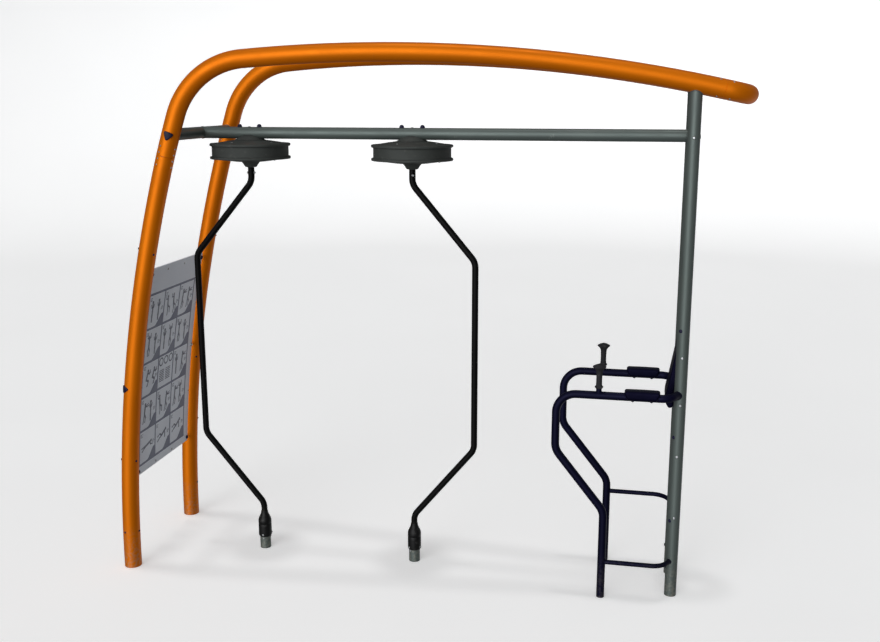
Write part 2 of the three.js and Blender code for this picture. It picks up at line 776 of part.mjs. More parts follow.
function beamBolt() {
  const { r, bottom, headR, headHeight } = BEAM_BOLT;
  const seat = BEAM_Z + BEAM_R + GAP;
  return turned(
    [
      [0, bottom],
      [r, bottom],
      [r, seat],
      [headR, seat],
      [headR, seat + 7],
      [headR - 3, seat + 15],
      [r, seat + headHeight],
      [0, seat + headHeight],
    ],
    SMALL_SIDES,
  );
}

// ---- Foot of a crank ----
function stubPost() {
  return tube(straight([0, 0, 0], [0, 0, STUB_TOP_Z]), BEAM_R, BEAM_WALL, HUB_SIDES);
}

// The cup slips over the stub post and holds the foot bearing.
function bearingCup() {
  return turned(
    [
      [CUP_BORE, CUP_BOTTOM_Z],
      [CUP_R - 5, CUP_BOTTOM_Z],
      [CUP_R, CUP_BOTTOM_Z + 9],
      [CUP_R, CUP_TOP_Z],
      [CUP_MOUTH_R, CUP_TOP_Z],
      [CUP_MOUTH_R, STUB_TOP_Z + 1],
      [CUP_BORE, STUB_TOP_Z + 1],
    ],
    HUB_SIDES,
  );
}

// The boot covers the gap between the pole and the cup, and turns with the pole.
function boot() {
  const bottom = CUP_TOP_Z + 1;
  const bore = POLE_R + 0.9;
  return turned(
    [
      [bore, bottom],
      [CUP_R, bottom],
      [CUP_R, 206],
      [42, 222],
      [29, 250],
      [24, 262],
      [POLE_R + 2.5, BOOT_TOP_Z],
      [bore, BOOT_TOP_Z],
    ],
    HUB_SIDES,
  );
}

// ---- Assembly ----
const station = new THREE.Group();

for (const side of SIDES) {
  const across = ACROSS[side];
  station.add(node(`leg_tube_${side}`, legTube(across), "orange"));
  const arch = tube(spread(armStations, across), ARCH_R, ARCH_WALL, TUBE_SIDES);
  station.add(node(`arch_tube_${side}`, arch, "orange"));
  station.add(node(`leg_splice_${side}`, legSplice(across), "steel"));
  station.add(node(`post_${side}`, post(across), "greyGreen"));
  station.add(node(`dip_tube_${side}`, dipTube(across), "navy"));
  station.add(node(`grip_${side}`, grip(across), "rubber"));
  station.add(node(`arm_pad_${side}`, armPad(across), "pad"));
}
station.add(node("end_bend", endBend(), "orange"));
station.add(node("crossbeam", crossbeam(), "greyGreen"));
station.add(node("left_cross_tube", leftCrossTube(), "greyGreen"));
station.add(node("right_cross_tube", rightCrossTube(), "greyGreen"));
station.add(node("step_low", step("front"), "navy"));
station.add(node("step_high", step("rear"), "navy"));
station.add(node("back_pad", backPad(), "pad"));
for (const [level, z] of Object.entries(PAD_BAR.heights)) {
  station.add(node(`pad_bar_${level}`, padBar(z), "greyGreen"));
}
station.add(signPanel());

for (const { name, x, reach, boltTurn } of CRANKS) {
  const unit = new THREE.Group();
  unit.position.x = x;
  unit.add(node(`drum_saddle_${name}`, drumSaddle(), "drumShell"));
  unit.add(node(`drum_top_cover_${name}`, drumTopCover(), "drumShell"));
  unit.add(node(`drum_band_${name}`, drumBand(), "drumShell"));
  unit.add(node(`drum_bottom_cover_${name}`, drumBottomCover(), "drumShell"));
  unit.add(node(`hub_cone_${name}`, hubCone(), "drumShell"));
  unit.add(node(`upper_bearing_${name}`, ring(UPPER_BEARING, SMALL_SIDES), "steel"));
  unit.add(node(`lower_bearing_${name}`, ring(LOWER_BEARING, SMALL_SIDES), "steel"));
  unit.add(node(`brake_magnets_${name}`, ring(MAGNETS, DRUM_SIDES), "magnet"));
  ["inner", "outer"].forEach((place, i) => {
    const bolt = node(`beam_bolt_${place}_${name}`, beamBolt(), "navy");
    bolt.position.x = BEAM_BOLT_X * (i ? reach : -reach);
    unit.add(bolt);
  });
  unit.add(node(`stub_post_${name}`, stubPost(), "greyGreen"));
  unit.add(node(`bearing_cup_${name}`, bearingCup(), "black"));
  unit.add(node(`foot_bearing_${name}`, ring(FOOT_BEARING, SMALL_SIDES), "steel"));
  unit.add(node(`crank_pole_${name}`, crankPole(reach, boltTurn), "black"));
  unit.add(node(`spindle_${name}`, spindle(boltTurn), "steel"));
  unit.add(node(`cross_bolt_${name}`, crossBolt(boltTurn), "steel"));
  unit.add(node(`rotor_disc_${name}`, ring(ROTOR, DRUM_SIDES), "aluminium"));
  unit.add(node(`boot_${name}`, boot(), "black"));
  station.add(unit);
}

// The origin goes under the middle of the station's length.
const extent = new THREE.Box3().setFromObject(station, true);
station.position.x = -(extent.min.x + extent.max.x) / 2;

export default station;
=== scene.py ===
import json
import random
from math import asin, atan, atan2, ceil, cos, degrees as deg, hypot, pi, radians as rad, sin, sqrt, tan, tau

import bpy
from mathutils import Matrix, Vector


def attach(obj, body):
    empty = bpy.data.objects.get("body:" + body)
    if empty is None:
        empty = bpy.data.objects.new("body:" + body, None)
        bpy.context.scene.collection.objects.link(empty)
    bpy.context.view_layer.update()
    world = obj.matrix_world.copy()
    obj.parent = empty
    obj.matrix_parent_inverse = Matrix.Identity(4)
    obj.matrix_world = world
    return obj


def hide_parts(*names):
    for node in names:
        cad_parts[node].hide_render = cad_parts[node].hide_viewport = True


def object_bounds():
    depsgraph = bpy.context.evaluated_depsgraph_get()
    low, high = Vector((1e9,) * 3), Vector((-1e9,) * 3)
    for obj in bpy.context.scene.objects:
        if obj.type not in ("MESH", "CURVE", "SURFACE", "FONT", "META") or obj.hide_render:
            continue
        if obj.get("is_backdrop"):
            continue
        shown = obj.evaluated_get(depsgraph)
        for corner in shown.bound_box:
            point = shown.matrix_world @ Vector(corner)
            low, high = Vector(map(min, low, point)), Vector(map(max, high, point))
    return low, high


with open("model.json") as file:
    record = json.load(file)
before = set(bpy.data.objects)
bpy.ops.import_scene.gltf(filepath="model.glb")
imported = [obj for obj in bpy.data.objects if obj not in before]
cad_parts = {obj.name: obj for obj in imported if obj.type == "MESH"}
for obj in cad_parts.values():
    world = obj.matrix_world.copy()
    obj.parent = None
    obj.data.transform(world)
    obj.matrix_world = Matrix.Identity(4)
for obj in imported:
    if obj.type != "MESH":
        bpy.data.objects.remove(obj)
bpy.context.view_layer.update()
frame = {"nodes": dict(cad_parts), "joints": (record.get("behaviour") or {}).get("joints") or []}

AXIS_X = 1000 * frame["joints"][0]["pos_m"][0]  # the left crank's axis, from the part's origin
SIDES = {"front": -1, "rear": 1}
CRANKS = {"left": (0, -1), "right": (1098, 1)}  # axis X, and the way the crank reaches at rest

# ---- Dimensions shared with the CAD source ----
ARCH_R = 57.15
LEG_FOOT_X = -790
LEG_HALF_WIDTH = 463
LEG_BEND_R = 9700
LEG_TURN = 18.3
LEG_SPLICE_Z = 2800
TOP_BEND_R = 500
TOP_TURN = 66.7
ARM_BEND_R = 9600
ARM_RISE = 5
ARM_END_X = 3000
TAPER = 0.0943
END_STUB = 22.2
BEAM_R = 38.05
BEAM_Z = 2930
POST_X = 2839
POST_HALF_WIDTH = 160
POLE_R = 21.2
POLE_REACH = 415
POLE_BEND_R = 100
POLE_CORNERS = [(0, 2703.5), (0, 2609), (POLE_REACH, 2114), (POLE_REACH, 837), (0, 335), (0, 132)]
CROSS_BOLT_Z = 2669
BOLT_TURN = {"left": 0, "right": -70}  # degrees from +X to the cross bolt
FOOT_SCREW_TURN = {"left": -90, "right": -131}  # degrees from +X to the first of three
DIP_R = 25.4
DIP_HALF_WIDTH = 280
DIP_FOOT_X = 2395
DIP_FRONT_X = 2080
DIP_BAR_Z = 1351
DIP_TURN_IN_X = 2770
STEP_R = 15
STEP_Z = {"front": 242, "rear": 508}
HANDLE_X = 2342
STEM_R = 17.3
SIGN_INSET = 8  # from the axis of the legs towards the middle of their curve
SIGN_BOTTOM_Z = 620
SIGN_TOP_Z = 2062
SIGN_WIDTH = 784
SIGN_THICKNESS = 12
PAD_BAR_Z = {"low": 1289, "high": 1591}

# ---- Round tubes ----
ARCH_SIDES = 56
BEAM_SIDES = 40
SKIN_SINK = 0.4  # how far a fastener's foot sits under a tube's skin


def vec(*xyz):
    return Vector([float(v) for v in xyz])


def level_way(degrees):
    """The level direction that is so many degrees round from +X."""
    return vec(cos(rad(degrees)), sin(rad(degrees)), 0)


def to_frame(point):
    return ((point[0] + AXIS_X) / 1000, point[1] / 1000, point[2] / 1000)


def add_object(name, data):
    obj = bpy.data.objects.new(name, data)
    bpy.context.scene.collection.objects.link(obj)
    return obj


# ---- Camera ----
LENS = 41.66  # mm, on a 36 mm wide sensor
CAMERA_SPOT = (2594.4, -6428.9, 3156.6)
CAMERA_DOWN = 12.38  # degrees it looks down
CAMERA_LEFT = 11.56  # degrees it looks left of straight across the station


def make_camera():
    data = bpy.data.cameras.new("camera")
    data.sensor_width = 36
    data.lens = LENS
    camera = add_object("camera", data)
    camera.location = to_frame(CAMERA_SPOT)
    camera.rotation_euler = (rad(90 - CAMERA_DOWN), 0, rad(CAMERA_LEFT))
    bpy.context.scene.camera = camera


# ---- Mesh parts: each is (vertices, faces) ----
def ring_faces(rings, count, flip=False):
    """Faces of a skin over rings of points, its ends capped; flip turns its outside in."""
    skin = []
    for i in range(rings - 1):
        for k in range(count):
            n = (k + 1) % count
            skin.append([i * count + k, i * count + n, (i + 1) * count + n, (i + 1) * count + k])
    caps = [list(reversed(range(count))), [(rings - 1) * count + k for k in range(count)]]
    if flip:
        skin = [[a, d, c, b] for a, b, c, d in skin]
        caps = [cap[::-1] for cap in caps]
    return skin + caps


def sweep(stations, radius, sides=40, bevel=0.0):
    """A round rod along stations of (point, direction), its ends closed."""
    rings = [(p, d, radius) for p, d in stations]
    if bevel:
        (first, d0), (last, d1) = stations[0], stations[-1]
        rings[0] = (first + d0 * bevel, d0, radius)
        rings[-1] = (last - d1 * bevel, d1, radius)
        rings = [(first, d0, radius - bevel), *rings, (last, d1, radius - bevel)]
    helper = vec(0, 0, 1) if abs(rings[0][1].z) < 0.8 else vec(1, 0, 0)
    across = helper.cross(rings[0][1]).normalized()
    verts = []
    for point, direction, r in rings:
        across = (across - across.project(direction)).normalized()
        up = direction.cross(across)
        for k in range(sides):
            a = tau * k / sides
            verts.append(point + (across * cos(a) + up * sin(a)) * r)
    return verts, ring_faces(len(rings), sides)


def turned(profile, sides=64):
    """A turned part about +Z; the profile is a closed loop, or starts and ends on the axis."""
    closed = profile[0][0] > 0
    verts, rows = [], []
    for r, z in profile:
        if r < 1e-6:
            rows.append([len(verts)] * sides)
            verts.append(vec(0, 0, z))
            continue
        rows.append([len(verts) + k for k in range(sides)])
        verts += [vec(r * cos(tau * k / sides), r * sin(tau * k / sides), z) for k in range(sides)]
    faces = []
    for i in range(len(rows) if closed else len(rows) - 1):
        low, high = rows[i], rows[(i + 1) % len(rows)]
        for k in range(sides):
            n = (k + 1) % sides
            face = list(dict.fromkeys([low[k], low[n], high[n], high[k]]))
            if len(face) > 2:
                faces.append(face)
    return verts, faces


def soften(outline, radius, steps=4, closed=True):
    """The outline with each corner rounded; an open one keeps its two ends."""
    points = [Vector(p) for p in outline]
    count = len(points)
    made = [] if closed else [tuple(points[0])]
    for i in range(count) if closed else range(1, count - 1):
        before, here, after = points[i - 1], points[i], points[(i + 1) % count]
        back, forth = before - here, after - here
        reach = min(radius, 0.45 * back.length, 0.45 * forth.length)
        start, end = here + back.normalized() * reach, here + forth.normalized() * reach
        for k in range(steps + 1):
            t = k / steps
            made.append(tuple((1 - t) ** 2 * start + 2 * t * (1 - t) * here + t**2 * end))
    return made if closed else [*made, tuple(points[-1])]


def plate(outline, layers):
    """A plate from a 2-D outline: layers are (height, how far the edge is pulled in)."""
    count = len(outline)
    centre = sum((Vector(p) for p in outline), Vector((0, 0))) / count
    verts = []
    for height, inset in layers:
        for i, p in enumerate(outline):
            along = Vector(outline[(i + 1) % count]) - Vector(outline[i - 1])
            inward = Vector((-along.y, along.x)).normalized()
            if inward.dot(centre - Vector(p)) < 0:
                inward = -inward
            q = Vector(p) + inward * inset
            verts.append(vec(q.x, q.y, height))
    return verts, ring_faces(len(layers), count)


def moved(part, matrix):
    return [matrix @ v for v in part[0]], part[1]


def shifted(part, x=0, y=0, z=0):
    return moved(part, Matrix.Translation((x, y, z)))


def aimed(part, point, normal, spin=0.0):
    """The part with its +Z turned to the normal and its origin at the point."""
    turn = Vector(normal).to_track_quat("Z", "Y").to_matrix().to_4x4()
    return moved(part, Matrix.Translation(point) @ turn @ Matrix.Rotation(spin, 4, "Z"))


def rounded_box(size, radius, steps=3):
    """A box about its centre whose edges are all rounded."""
    x, y, z = (s / 2 for s in size)
    outline = soften([(-x, -y), (x, -y), (x, y), (-x, y)], radius, steps)
    bevel = [
        (z - radius + radius * sin(a), radius - radius * cos(a))
        for a in (rad(90 * k / steps) for k in range(steps + 1))
    ]
    return plate(outline, [(-h, i) for h, i in reversed(bevel)] + bevel)


def arc(centre, radius, start, end, steps=6):
    """Points of an arc, its angles in degrees from the outline's first axis."""
    angles = [rad(start + (end - start) * k / steps) for k in range(steps + 1)]
    return [(centre[0] + radius * cos(a), centre[1] + radius * sin(a)) for a in angles]


def socket_screw(r, height):
    """A domed screw head on z = 0 with a hexagon socket."""
    socket = 0.52 * r
    profile = [(0, 0), (r, 0), (r, 0.25 * height), (0.93 * r, 0.6 * height), (0.74 * r, 0.9 * height)]
    profile += [(0.6 * r, height), (socket, height), (socket, 0.35 * height), (0, 0.3 * height)]
    verts, faces = turned(profile, 24)
    for v in verts:
        if 0 < hypot(v.x, v.y) < 0.56 * r:
            turn = atan2(v.y, v.x) % rad(60) - rad(30)
            v.xy = v.xy * (cos(rad(30)) / cos(turn))
    return verts, faces


def dome_cap(r, height):
    """A domed plastic cap on z = 0 with a thin flange."""
    profile = [(0, 0), (r, 0), (r, 0.12 * height), (0.93 * r, 0.16 * height)]
    dome = arc((0, 0.2 * height), 0.9 * r, 0, 90, 8)
    squash = 0.8 * height / (0.9 * r)
    profile += [(x, 0.2 * height + (z - 0.2 * height) * squash) for x, z in dome]
    profile[-1] = (0, height)
    return turned(profile, 32)


def corner_cap(size, height):
    """A cap whose outline is a triangle with bowed sides and round corners; a corner points to +X."""
    corners = [(0.62 * size * cos(rad(a)), 0.62 * size * sin(rad(a))) for a in (0, 120, 240)]
    bowed = []
    for i, p in enumerate(corners):
        q = corners[(i + 1) % 3]
        bowed += [p, (0.59 * (p[0] + q[0]), 0.59 * (p[1] + q[1]))]
    return plate(
        soften(bowed, 0.24 * size, 6),
        [(0, 0), (0.5 * height, 0), (0.8 * height, 1.2), (0.95 * height, 3), (height, 6.5)],
    )


# ---- Paths ----
def chain(start, heading, moves):
    """Stations (a, b, heading) of straight stretches and clockwise arcs in a plane."""
    a, b = start
    stations = [(a, b, heading)]
    for kind, size, turn, steps in moves:
        if kind == "line":
            a += size * cos(rad(heading))
            b += size * sin(rad(heading))
            stations.append((a, b, heading))
            continue
        for _ in range(steps):
            following = heading - turn / steps
            a += size * (sin(rad(heading)) - sin(rad(following)))
            b += size * (cos(rad(following)) - cos(rad(heading)))
            heading = following
            stations.append((a, b, heading))
    return stations


def bent_path(corners, bend_radii, degrees_per_step=4):
    """Stations through corners, rounded with one bend radius or a list of one for each."""
    points = [vec(*c) for c in corners]
    ways = [(b - a).normalized() for a, b in zip(points, points[1:])]
    stations = [(points[0], ways[0])]
    for i in range(1, len(points) - 1):
        into, out = ways[i - 1], ways[i]
        turn = into.angle(out)
        bend_radius = bend_radii[i - 1] if isinstance(bend_radii, list) else bend_radii
        begin = points[i] - into * (bend_radius * tan(turn / 2))
        inward = (out - into * cos(turn)).normalized()
        steps = ceil(deg(turn) / degrees_per_step)
        for k in range(steps + 1):
            a = turn * k / steps
            point = begin + into * (bend_radius * sin(a)) + inward * (bend_radius * (1 - cos(a)))
            stations.append((point, into * cos(a) + inward * sin(a)))
    stations.append((points[-1], ways[-1]))
    return stations


def line(start, end):
    start, end = vec(*start), vec(*end)
    way = (end - start).normalized()
    return [(start, way), (end, way)]


# ---- Weld beads ----
def weld(tube_point, tube_way, tube_r, wall_point, wall_way, wall_r, size=3.2, sides=48):
    """The bead where a tube, going along tube_way, meets the wall of another round tube."""
    p0, d = vec(*tube_point), vec(*tube_way).normalized()
    w0, w = vec(*wall_point), vec(*wall_way).normalized()
    helper = vec(0, 0, 1) if abs(d.z) < 0.8 else vec(1, 0, 0)
    u = helper.cross(d).normalized()
    v = d.cross(u)
    loop = []
    for k in range(sides):
        a = tau * k / sides
        start = p0 + (u * cos(a) + v * sin(a)) * tube_r - w0
        flat_start, flat_d = start - w * start.dot(w), d - w * d.dot(w)
        qa, qb = flat_d.dot(flat_d), 2 * flat_start.dot(flat_d)
        qc = flat_start.dot(flat_start) - wall_r**2
        root = max(0.0, qb * qb - 4 * qa * qc) ** 0.5
        loop.append(w0 + start + d * ((-qb - root) / (2 * qa)))
    verts, faces, around = [], [], 8
    for k in range(sides):
        way = (loop[(k + 1) % sides] - loop[k - 1]).normalized()
        out = (loop[k] - p0 - d * (loop[k] - p0).dot(d)).normalized()
        out = (out - way * out.dot(way)).normalized()
        up = way.cross(out)
        ripple = size * (1 + 0.07 * sin(k * 2.6))
        for j in range(around):
            b = tau * j / around
            verts.append(loop[k] + (out * cos(b) + up * sin(b)) * ripple)
    for k in range(sides):
        for j in range(around):
            n, m = (k + 1) % sides, (j + 1) % around
            faces.append([k * around + m, n * around + m, n * around + j, k * around + j])
    return verts, faces


# ---- Materials ----
class Nodes:
    """A node tree, built with short calls."""

    def __init__(self, tree, coordinates):
        self.tree = tree
        self.coords = self.add("TexCoord", output=coordinates)

    def fill(self, node, inputs):
        """Sets a node's inputs; each is a number, a tuple or another node's output."""
        for socket, value in inputs.items():
            if isinstance(value, bpy.types.NodeSocket):
                self.tree.links.new(value, node.inputs[socket])
            else:
                node.inputs[socket].default_value = value

    def add(self, kind, inputs=None, output=0, **settings):
        """A new node's output."""
        node = self.tree.nodes.new("ShaderNode" + kind)
        for setting, value in settings.items():
            setattr(node, setting, value)
        self.fill(node, inputs or {})
        return node.outputs[output]

    def noise(self, scale, detail=3.0, stretch=None):
        place = self.coords
        if stretch:
            place = self.add("Mapping", {"Vector": place, "Scale": stretch})
        return self.add("TexNoise", {"Scale": scale, "Detail": detail, "Vector": place}, "Fac")

    def drift(self, scale, detail, low=0, high=1, edge=0.3):
        """Soft noise between two values, its edges cut off."""
        return self.ranged(self.noise(scale, detail), edge, 1 - edge, low, high)

    def cells(self, scale, feature):
        return self.add("TexVoronoi", {"Scale": scale, "Vector": self.coords}, "Distance", feature=feature)

    def ranged(self, value, low, high, to_low, to_high):
        limits = {"From Min": low, "From Max": high, "To Min": to_low, "To Max": to_high}
        return self.add("MapRange", {**limits, "Value": value}, "Result")

    def height(self):
        return self.add("SeparateXYZ", {0: self.coords}, "Z")

    def maths(self, operation, a, b):
        return self.add("Math", {0: a, 1: b}, operation=operation)

    def mix(self, share, a, b):
        """Mixes two colours, each a triple or a node's output."""
        a, b = ((*c, 1) if isinstance(c, tuple) else c for c in (a, b))
        return self.add("Mix", {"Factor": share, 6: a, 7: b}, 2, data_type="RGBA")

    def bump(self, height, distance, strength=1.0, under=None):
        inputs = {"Distance": distance, "Strength": strength, "Height": height}
        if under:
            inputs["Normal"] = under
        return self.add("Bump", inputs, "Normal")


class Material(Nodes):
    """A material and its one shader."""

    def __init__(self, name):
        self.material = bpy.data.materials.new(name)
        self.material.use_nodes = True
        super().__init__(self.material.node_tree, "Object")

    def finish(self, inputs):
        """Sets the shader's inputs, by name, and returns the material."""
        self.fill(self.tree.nodes["Principled BSDF"], inputs)
        return self.material


def srgb(red, green, blue):
    def channel(c):
        c /= 255
        return c / 12.92 if c <= 0.04045 else ((c + 0.055) / 1.055) ** 2.4

    return (channel(red), channel(green), channel(blue))


def paint(name, base, shade, worn, dust=0.35):
    """Powder coat: soft colour drift, orange peel, fine scuffs, and dust where it nears the ground."""
    n = Material(name)
    colour = n.mix(n.drift(1.7, 2, edge=0.35), base, shade)
    scuffs = n.ranged(n.noise(38, 6, (1, 1, 0.25)), 0.66, 0.74, 0, 1)
    patches = n.ranged(n.noise(3.1, 2), 0.5, 0.62, 0, 1)
    marks = n.maths("MULTIPLY", scuffs, patches)
    colour = n.mix(n.ranged(marks, 0, 1, 0, 0.55), colour, worn)
    low = n.ranged(n.height(), 0.0, 0.32, dust, 0)
    speckle = n.ranged(n.noise(60, 5), 0.42, 0.62, 0, 1)
    dusty = n.maths("MULTIPLY", low, speckle)
    peel = n.bump(n.noise(190, 2), 0.00012)
    return n.finish(
        {
            "Base Color": n.mix(dusty, colour, srgb(168, 160, 146)),
            "Roughness": n.drift(9, 4, 0.4, 0.5),
            "Normal": n.bump(scuffs, 0.00005, 0.5, peel),
            "Specular IOR Level": 0.12,
            "Metallic": 0.45,
        }
    )


def moulded(name, base, shade, roughness=(0.5, 0.62), grain=900, specular=0.25):
    """Moulded plastic or rubber: a fine cast grain, faint flow marks and scuffing."""
    n = Material(name)
    drift = n.mix(n.drift(6, 3, edge=0.35), base, shade)
    dust = n.ranged(n.noise(26, 6), 0.6, 0.8, 0, 0.12)
    flow = n.bump(n.noise(45, 2), 0.00012, 0.6)
    return n.finish(
        {
            "Base Color": n.mix(dust, drift, srgb(150, 148, 142)),
            "Roughness": n.drift(14, 4, *roughness),
            "Normal": n.bump(n.noise(grain, 2), 0.00008, 1.0, flow),
            "Specular IOR Level": specular,
        }
    )


def foam_skin(name, base, shade):
    """Integral-skin foam: a pebbled leather grain, with painted shade darkening the creases between the
    cells.
    """
    n = Material(name)
    drift = n.mix(n.drift(11, 3, edge=0.35), base, shade)
    grain = n.cells(420, "DISTANCE_TO_EDGE")
    # Painted shade: the colour darkens towards 0.4 of the base in the creases between the cells.
    painted_crease_shade = n.ranged(grain, 0, 0.12, 0.35, 0)
    soft = n.bump(n.noise(30, 2), 0.0006, 0.5)
    return n.finish(
        {
            "Base Color": n.mix(painted_crease_shade, drift, tuple(c * 0.4 for c in base)),
            "Roughness": n.drift(20, 3, 0.4, 0.52),
            "Normal": n.bump(n.ranged(grain, 0, 0.25, 0, 1), 0.00022, 0.9, soft),
            "Specular IOR Level": 0.06,
            "Metallic": 0.45,
        }
    )


def metal(name, base, shade, roughness=(0.22, 0.38), stretch=(1, 1, 1)):
    """Bare metal: fine turning or drawing marks and a dull bloom in patches."""
    n = Material(name)
    bloom = n.ranged(n.noise(120, 4), 0.35, 0.7, 0, 1)
    return n.finish(
        {
            "Base Color": n.mix(bloom, base, shade),
            "Roughness": n.drift(260, 4, *roughness),
            "Normal": n.bump(n.noise(700, 3, stretch), 0.00006, 0.8),
            "Metallic": 1.0,
        }
    )


def printed(name, base, shade):
    """Printed laminate: a faint speckle in the colour and a slight ripple in the gloss."""
    n = Material(name)
    drift = n.mix(n.drift(2.5, 3, edge=0.35), base, shade)
    speckle = n.drift(1500, 2, 0, 0.12, edge=0.35)
    return n.finish(
        {
            "Base Color": n.mix(speckle, drift, tuple(min(1, c * 1.5) for c in base)),
            "Roughness": n.drift(8, 4, 0.34, 0.46),
            "Normal": n.bump(n.noise(55, 3), 0.0001, 0.5),
        }
    )


ORANGE = paint("orange_paint", srgb(228, 121, 4), srgb(221, 115, 3), worn=srgb(206, 116, 40))
GREY_GREEN = paint("grey_green_paint", srgb(102, 111, 108), srgb(96, 105, 102), worn=srgb(134, 140, 137))
NAVY = paint("navy_paint", srgb(15, 15, 43), srgb(12, 12, 36), worn=srgb(44, 44, 68), dust=0.12)
BLACK = paint("black_paint", srgb(18, 18, 18), srgb(14, 14, 15), worn=srgb(46, 46, 46))
DRUM = moulded("drum_plastic", srgb(68, 71, 69), srgb(61, 64, 62), specular=0.1)
BOOT = moulded("boot_plastic", srgb(18, 18, 19), srgb(14, 14, 15), roughness=(0.36, 0.48), grain=1300)
GRIP = moulded(
    "grip_rubber", srgb(49, 49, 52), srgb(42, 42, 45), roughness=(0.6, 0.74), grain=700, specular=0.1
)
CAP = moulded("bolt_cap", srgb(26, 24, 58), srgb(21, 19, 48), roughness=(0.36, 0.46), grain=1400)
PAD = foam_skin("pad_foam", srgb(14, 13, 40), srgb(11, 10, 33))
SIGN = printed("sign_laminate", srgb(236, 241, 252), srgb(231, 236, 248))
SIGN_DARK = printed("sign_grid_print", srgb(94, 100, 128), srgb(88, 94, 121))
SIGN_INK = printed("sign_figure_print", srgb(96, 101, 120), srgb(88, 93, 112))
BLACKENED = metal("blackened_steel", srgb(58, 58, 60), srgb(44, 44, 46), roughness=(0.35, 0.5))
STEEL = metal("steel", srgb(196, 198, 200), srgb(170, 172, 174))
ALUMINIUM = metal("aluminium", srgb(205, 207, 210), srgb(182, 184, 188), stretch=(1, 1, 6))
MAGNET = metal("magnet", srgb(120, 122, 126), srgb(100, 102, 106))

FINISHES = {
    ORANGE: ("arch_paint", 35),
    GREY_GREEN: ("post_paint", 35),
    NAVY: ("dip_paint", 35),
    BLACK: ("pole_paint", 35),
    DRUM: ("drum_plastic", 35),
    BOOT: ("boot_plastic", 40),
    GRIP: ("grip_rubber", 50),
    CAP: ("bolt_cap", 50),
    PAD: ("pad_foam", 60),
    SIGN: ("sign_laminate", 35),
    SIGN_DARK: ("sign_laminate", 35),
    SIGN_INK: ("sign_laminate", 35),
    STEEL: ("steel", 40),
}  # slot, and the angle in degrees from which an edge stays sharp


# ---- Pieces ----
def piece(name, material, parts, replaces=(), sharp=None, body="frame"):
    """An object of all the parts, attached to its body, with the CAD nodes it replaces hidden."""
    slot, usual_sharp = FINISHES[material]
    verts, faces = [], []
    for part_verts, part_faces in parts:
        base = len(verts)
        verts += [to_frame(v) for v in part_verts]
        faces += [[base + i for i in face] for face in part_faces]
    mesh = bpy.data.meshes.new(name)
    mesh.from_pydata(verts, [], faces)
    mesh.shade_smooth()
    mesh.set_sharp_from_angle(angle=rad(sharp or usual_sharp))
    mesh.materials.append(material)
    obj = add_object(name, mesh)
    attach(obj, body)
    if replaces:
        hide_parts(*replaces)
    return obj


make_camera()

# ---- Arch ----
def leg_at(z):
    """How far a leg has turned at a height, in radians, and its axis's X there."""
    turn = asin(z / LEG_BEND_R)
    return turn, LEG_FOOT_X + LEG_BEND_R * (1 - cos(turn))


splice_turn, splice_x = leg_at(LEG_SPLICE_Z)
splice_turn = deg(splice_turn)
arm_start_x = (
    LEG_FOOT_X
    + LEG_BEND_R * (1 - sin(rad(90 - LEG_TURN)))
    + TOP_BEND_R * (sin(rad(90 - LEG_TURN)) - sin(rad(ARM_RISE)))
)
arm_end_slope = deg(asin((ARM_END_X - arm_start_x) / ARM_BEND_R - sin(rad(ARM_RISE))))


def arm_half_width(x):
    return LEG_HALF_WIDTH - TAPER * max(0.0, x - splice_x)


def spread(stations, across, taper):
    made = []
    for a, b, heading in stations:
        ahead = cos(rad(heading))
        way = vec(ahead, -across * taper * ahead, sin(rad(heading))).normalized()
        made.append((vec(a, across * arm_half_width(a), b), way))
    return made


leg_chain = chain((LEG_FOOT_X, 0), 90, [("arc", LEG_BEND_R, splice_turn, 28)])
arm_chain = chain(
    (splice_x, LEG_SPLICE_Z),
    90 - splice_turn,
    [
        ("arc", LEG_BEND_R, LEG_TURN - splice_turn, 3),
        ("arc", TOP_BEND_R, TOP_TURN, 32),
        ("arc", ARM_BEND_R, ARM_RISE, 8),
        ("arc", ARM_BEND_R, arm_end_slope, 20),
    ],
)
arm_end = arm_chain[-1]

for side, across in SIDES.items():
    leg = sweep(spread(leg_chain, across, 0), ARCH_R, ARCH_SIDES, bevel=1.2)
    piece(f"leg_{side}", ORANGE, [leg], [f"leg_tube_{side}"])
    arm = sweep(spread(arm_chain, across, TAPER), ARCH_R, ARCH_SIDES, bevel=1.2)
    piece(f"arch_{side}", ORANGE, [arm], [f"arch_tube_{side}"])


def end_bend_path():
    closing = deg(atan(TAPER * cos(rad(arm_end_slope))))
    half_width = arm_half_width(ARM_END_X)
    radius = (half_width - END_STUB * sin(rad(closing))) / cos(rad(closing))
    flat = chain(
        (0, half_width),
        -closing,
        [
            ("line", END_STUB, 0, 1),
            ("arc", radius, 180 - 2 * closing, 44),
            ("line", END_STUB, 0, 1),
        ],
    )
    along = vec(cos(rad(arm_end_slope)), 0, -sin(rad(arm_end_slope)))
    origin = vec(arm_end[0], 0, arm_end[1])
    made = []
    for a, b, heading in flat:
        way = along * cos(rad(heading)) + vec(0, sin(rad(heading)), 0)
        made.append((origin + along * a + vec(0, b, 0), way))
    return made


end_bend = sweep(end_bend_path(), ARCH_R, ARCH_SIDES, bevel=1.2)
piece("arch_end", ORANGE, [end_bend], ["end_bend"])

# ---- Beam, cross tubes and posts ----
beam_turn, left_cross_x = leg_at(BEAM_Z)
left_reach = arm_half_width(left_cross_x)


def arm_axis(x, across):
    """A point of an arm's axis and its direction, at the posts' end of the arch."""
    slope = asin((x - arm_start_x) / ARM_BEND_R - sin(rad(ARM_RISE)))
    z = arm_end[1] + ARM_BEND_R * (cos(slope) - cos(rad(arm_end_slope)))
    way = vec(cos(slope), -across * TAPER * cos(slope), -sin(slope))
    return vec(x, across * arm_half_width(x), z), way


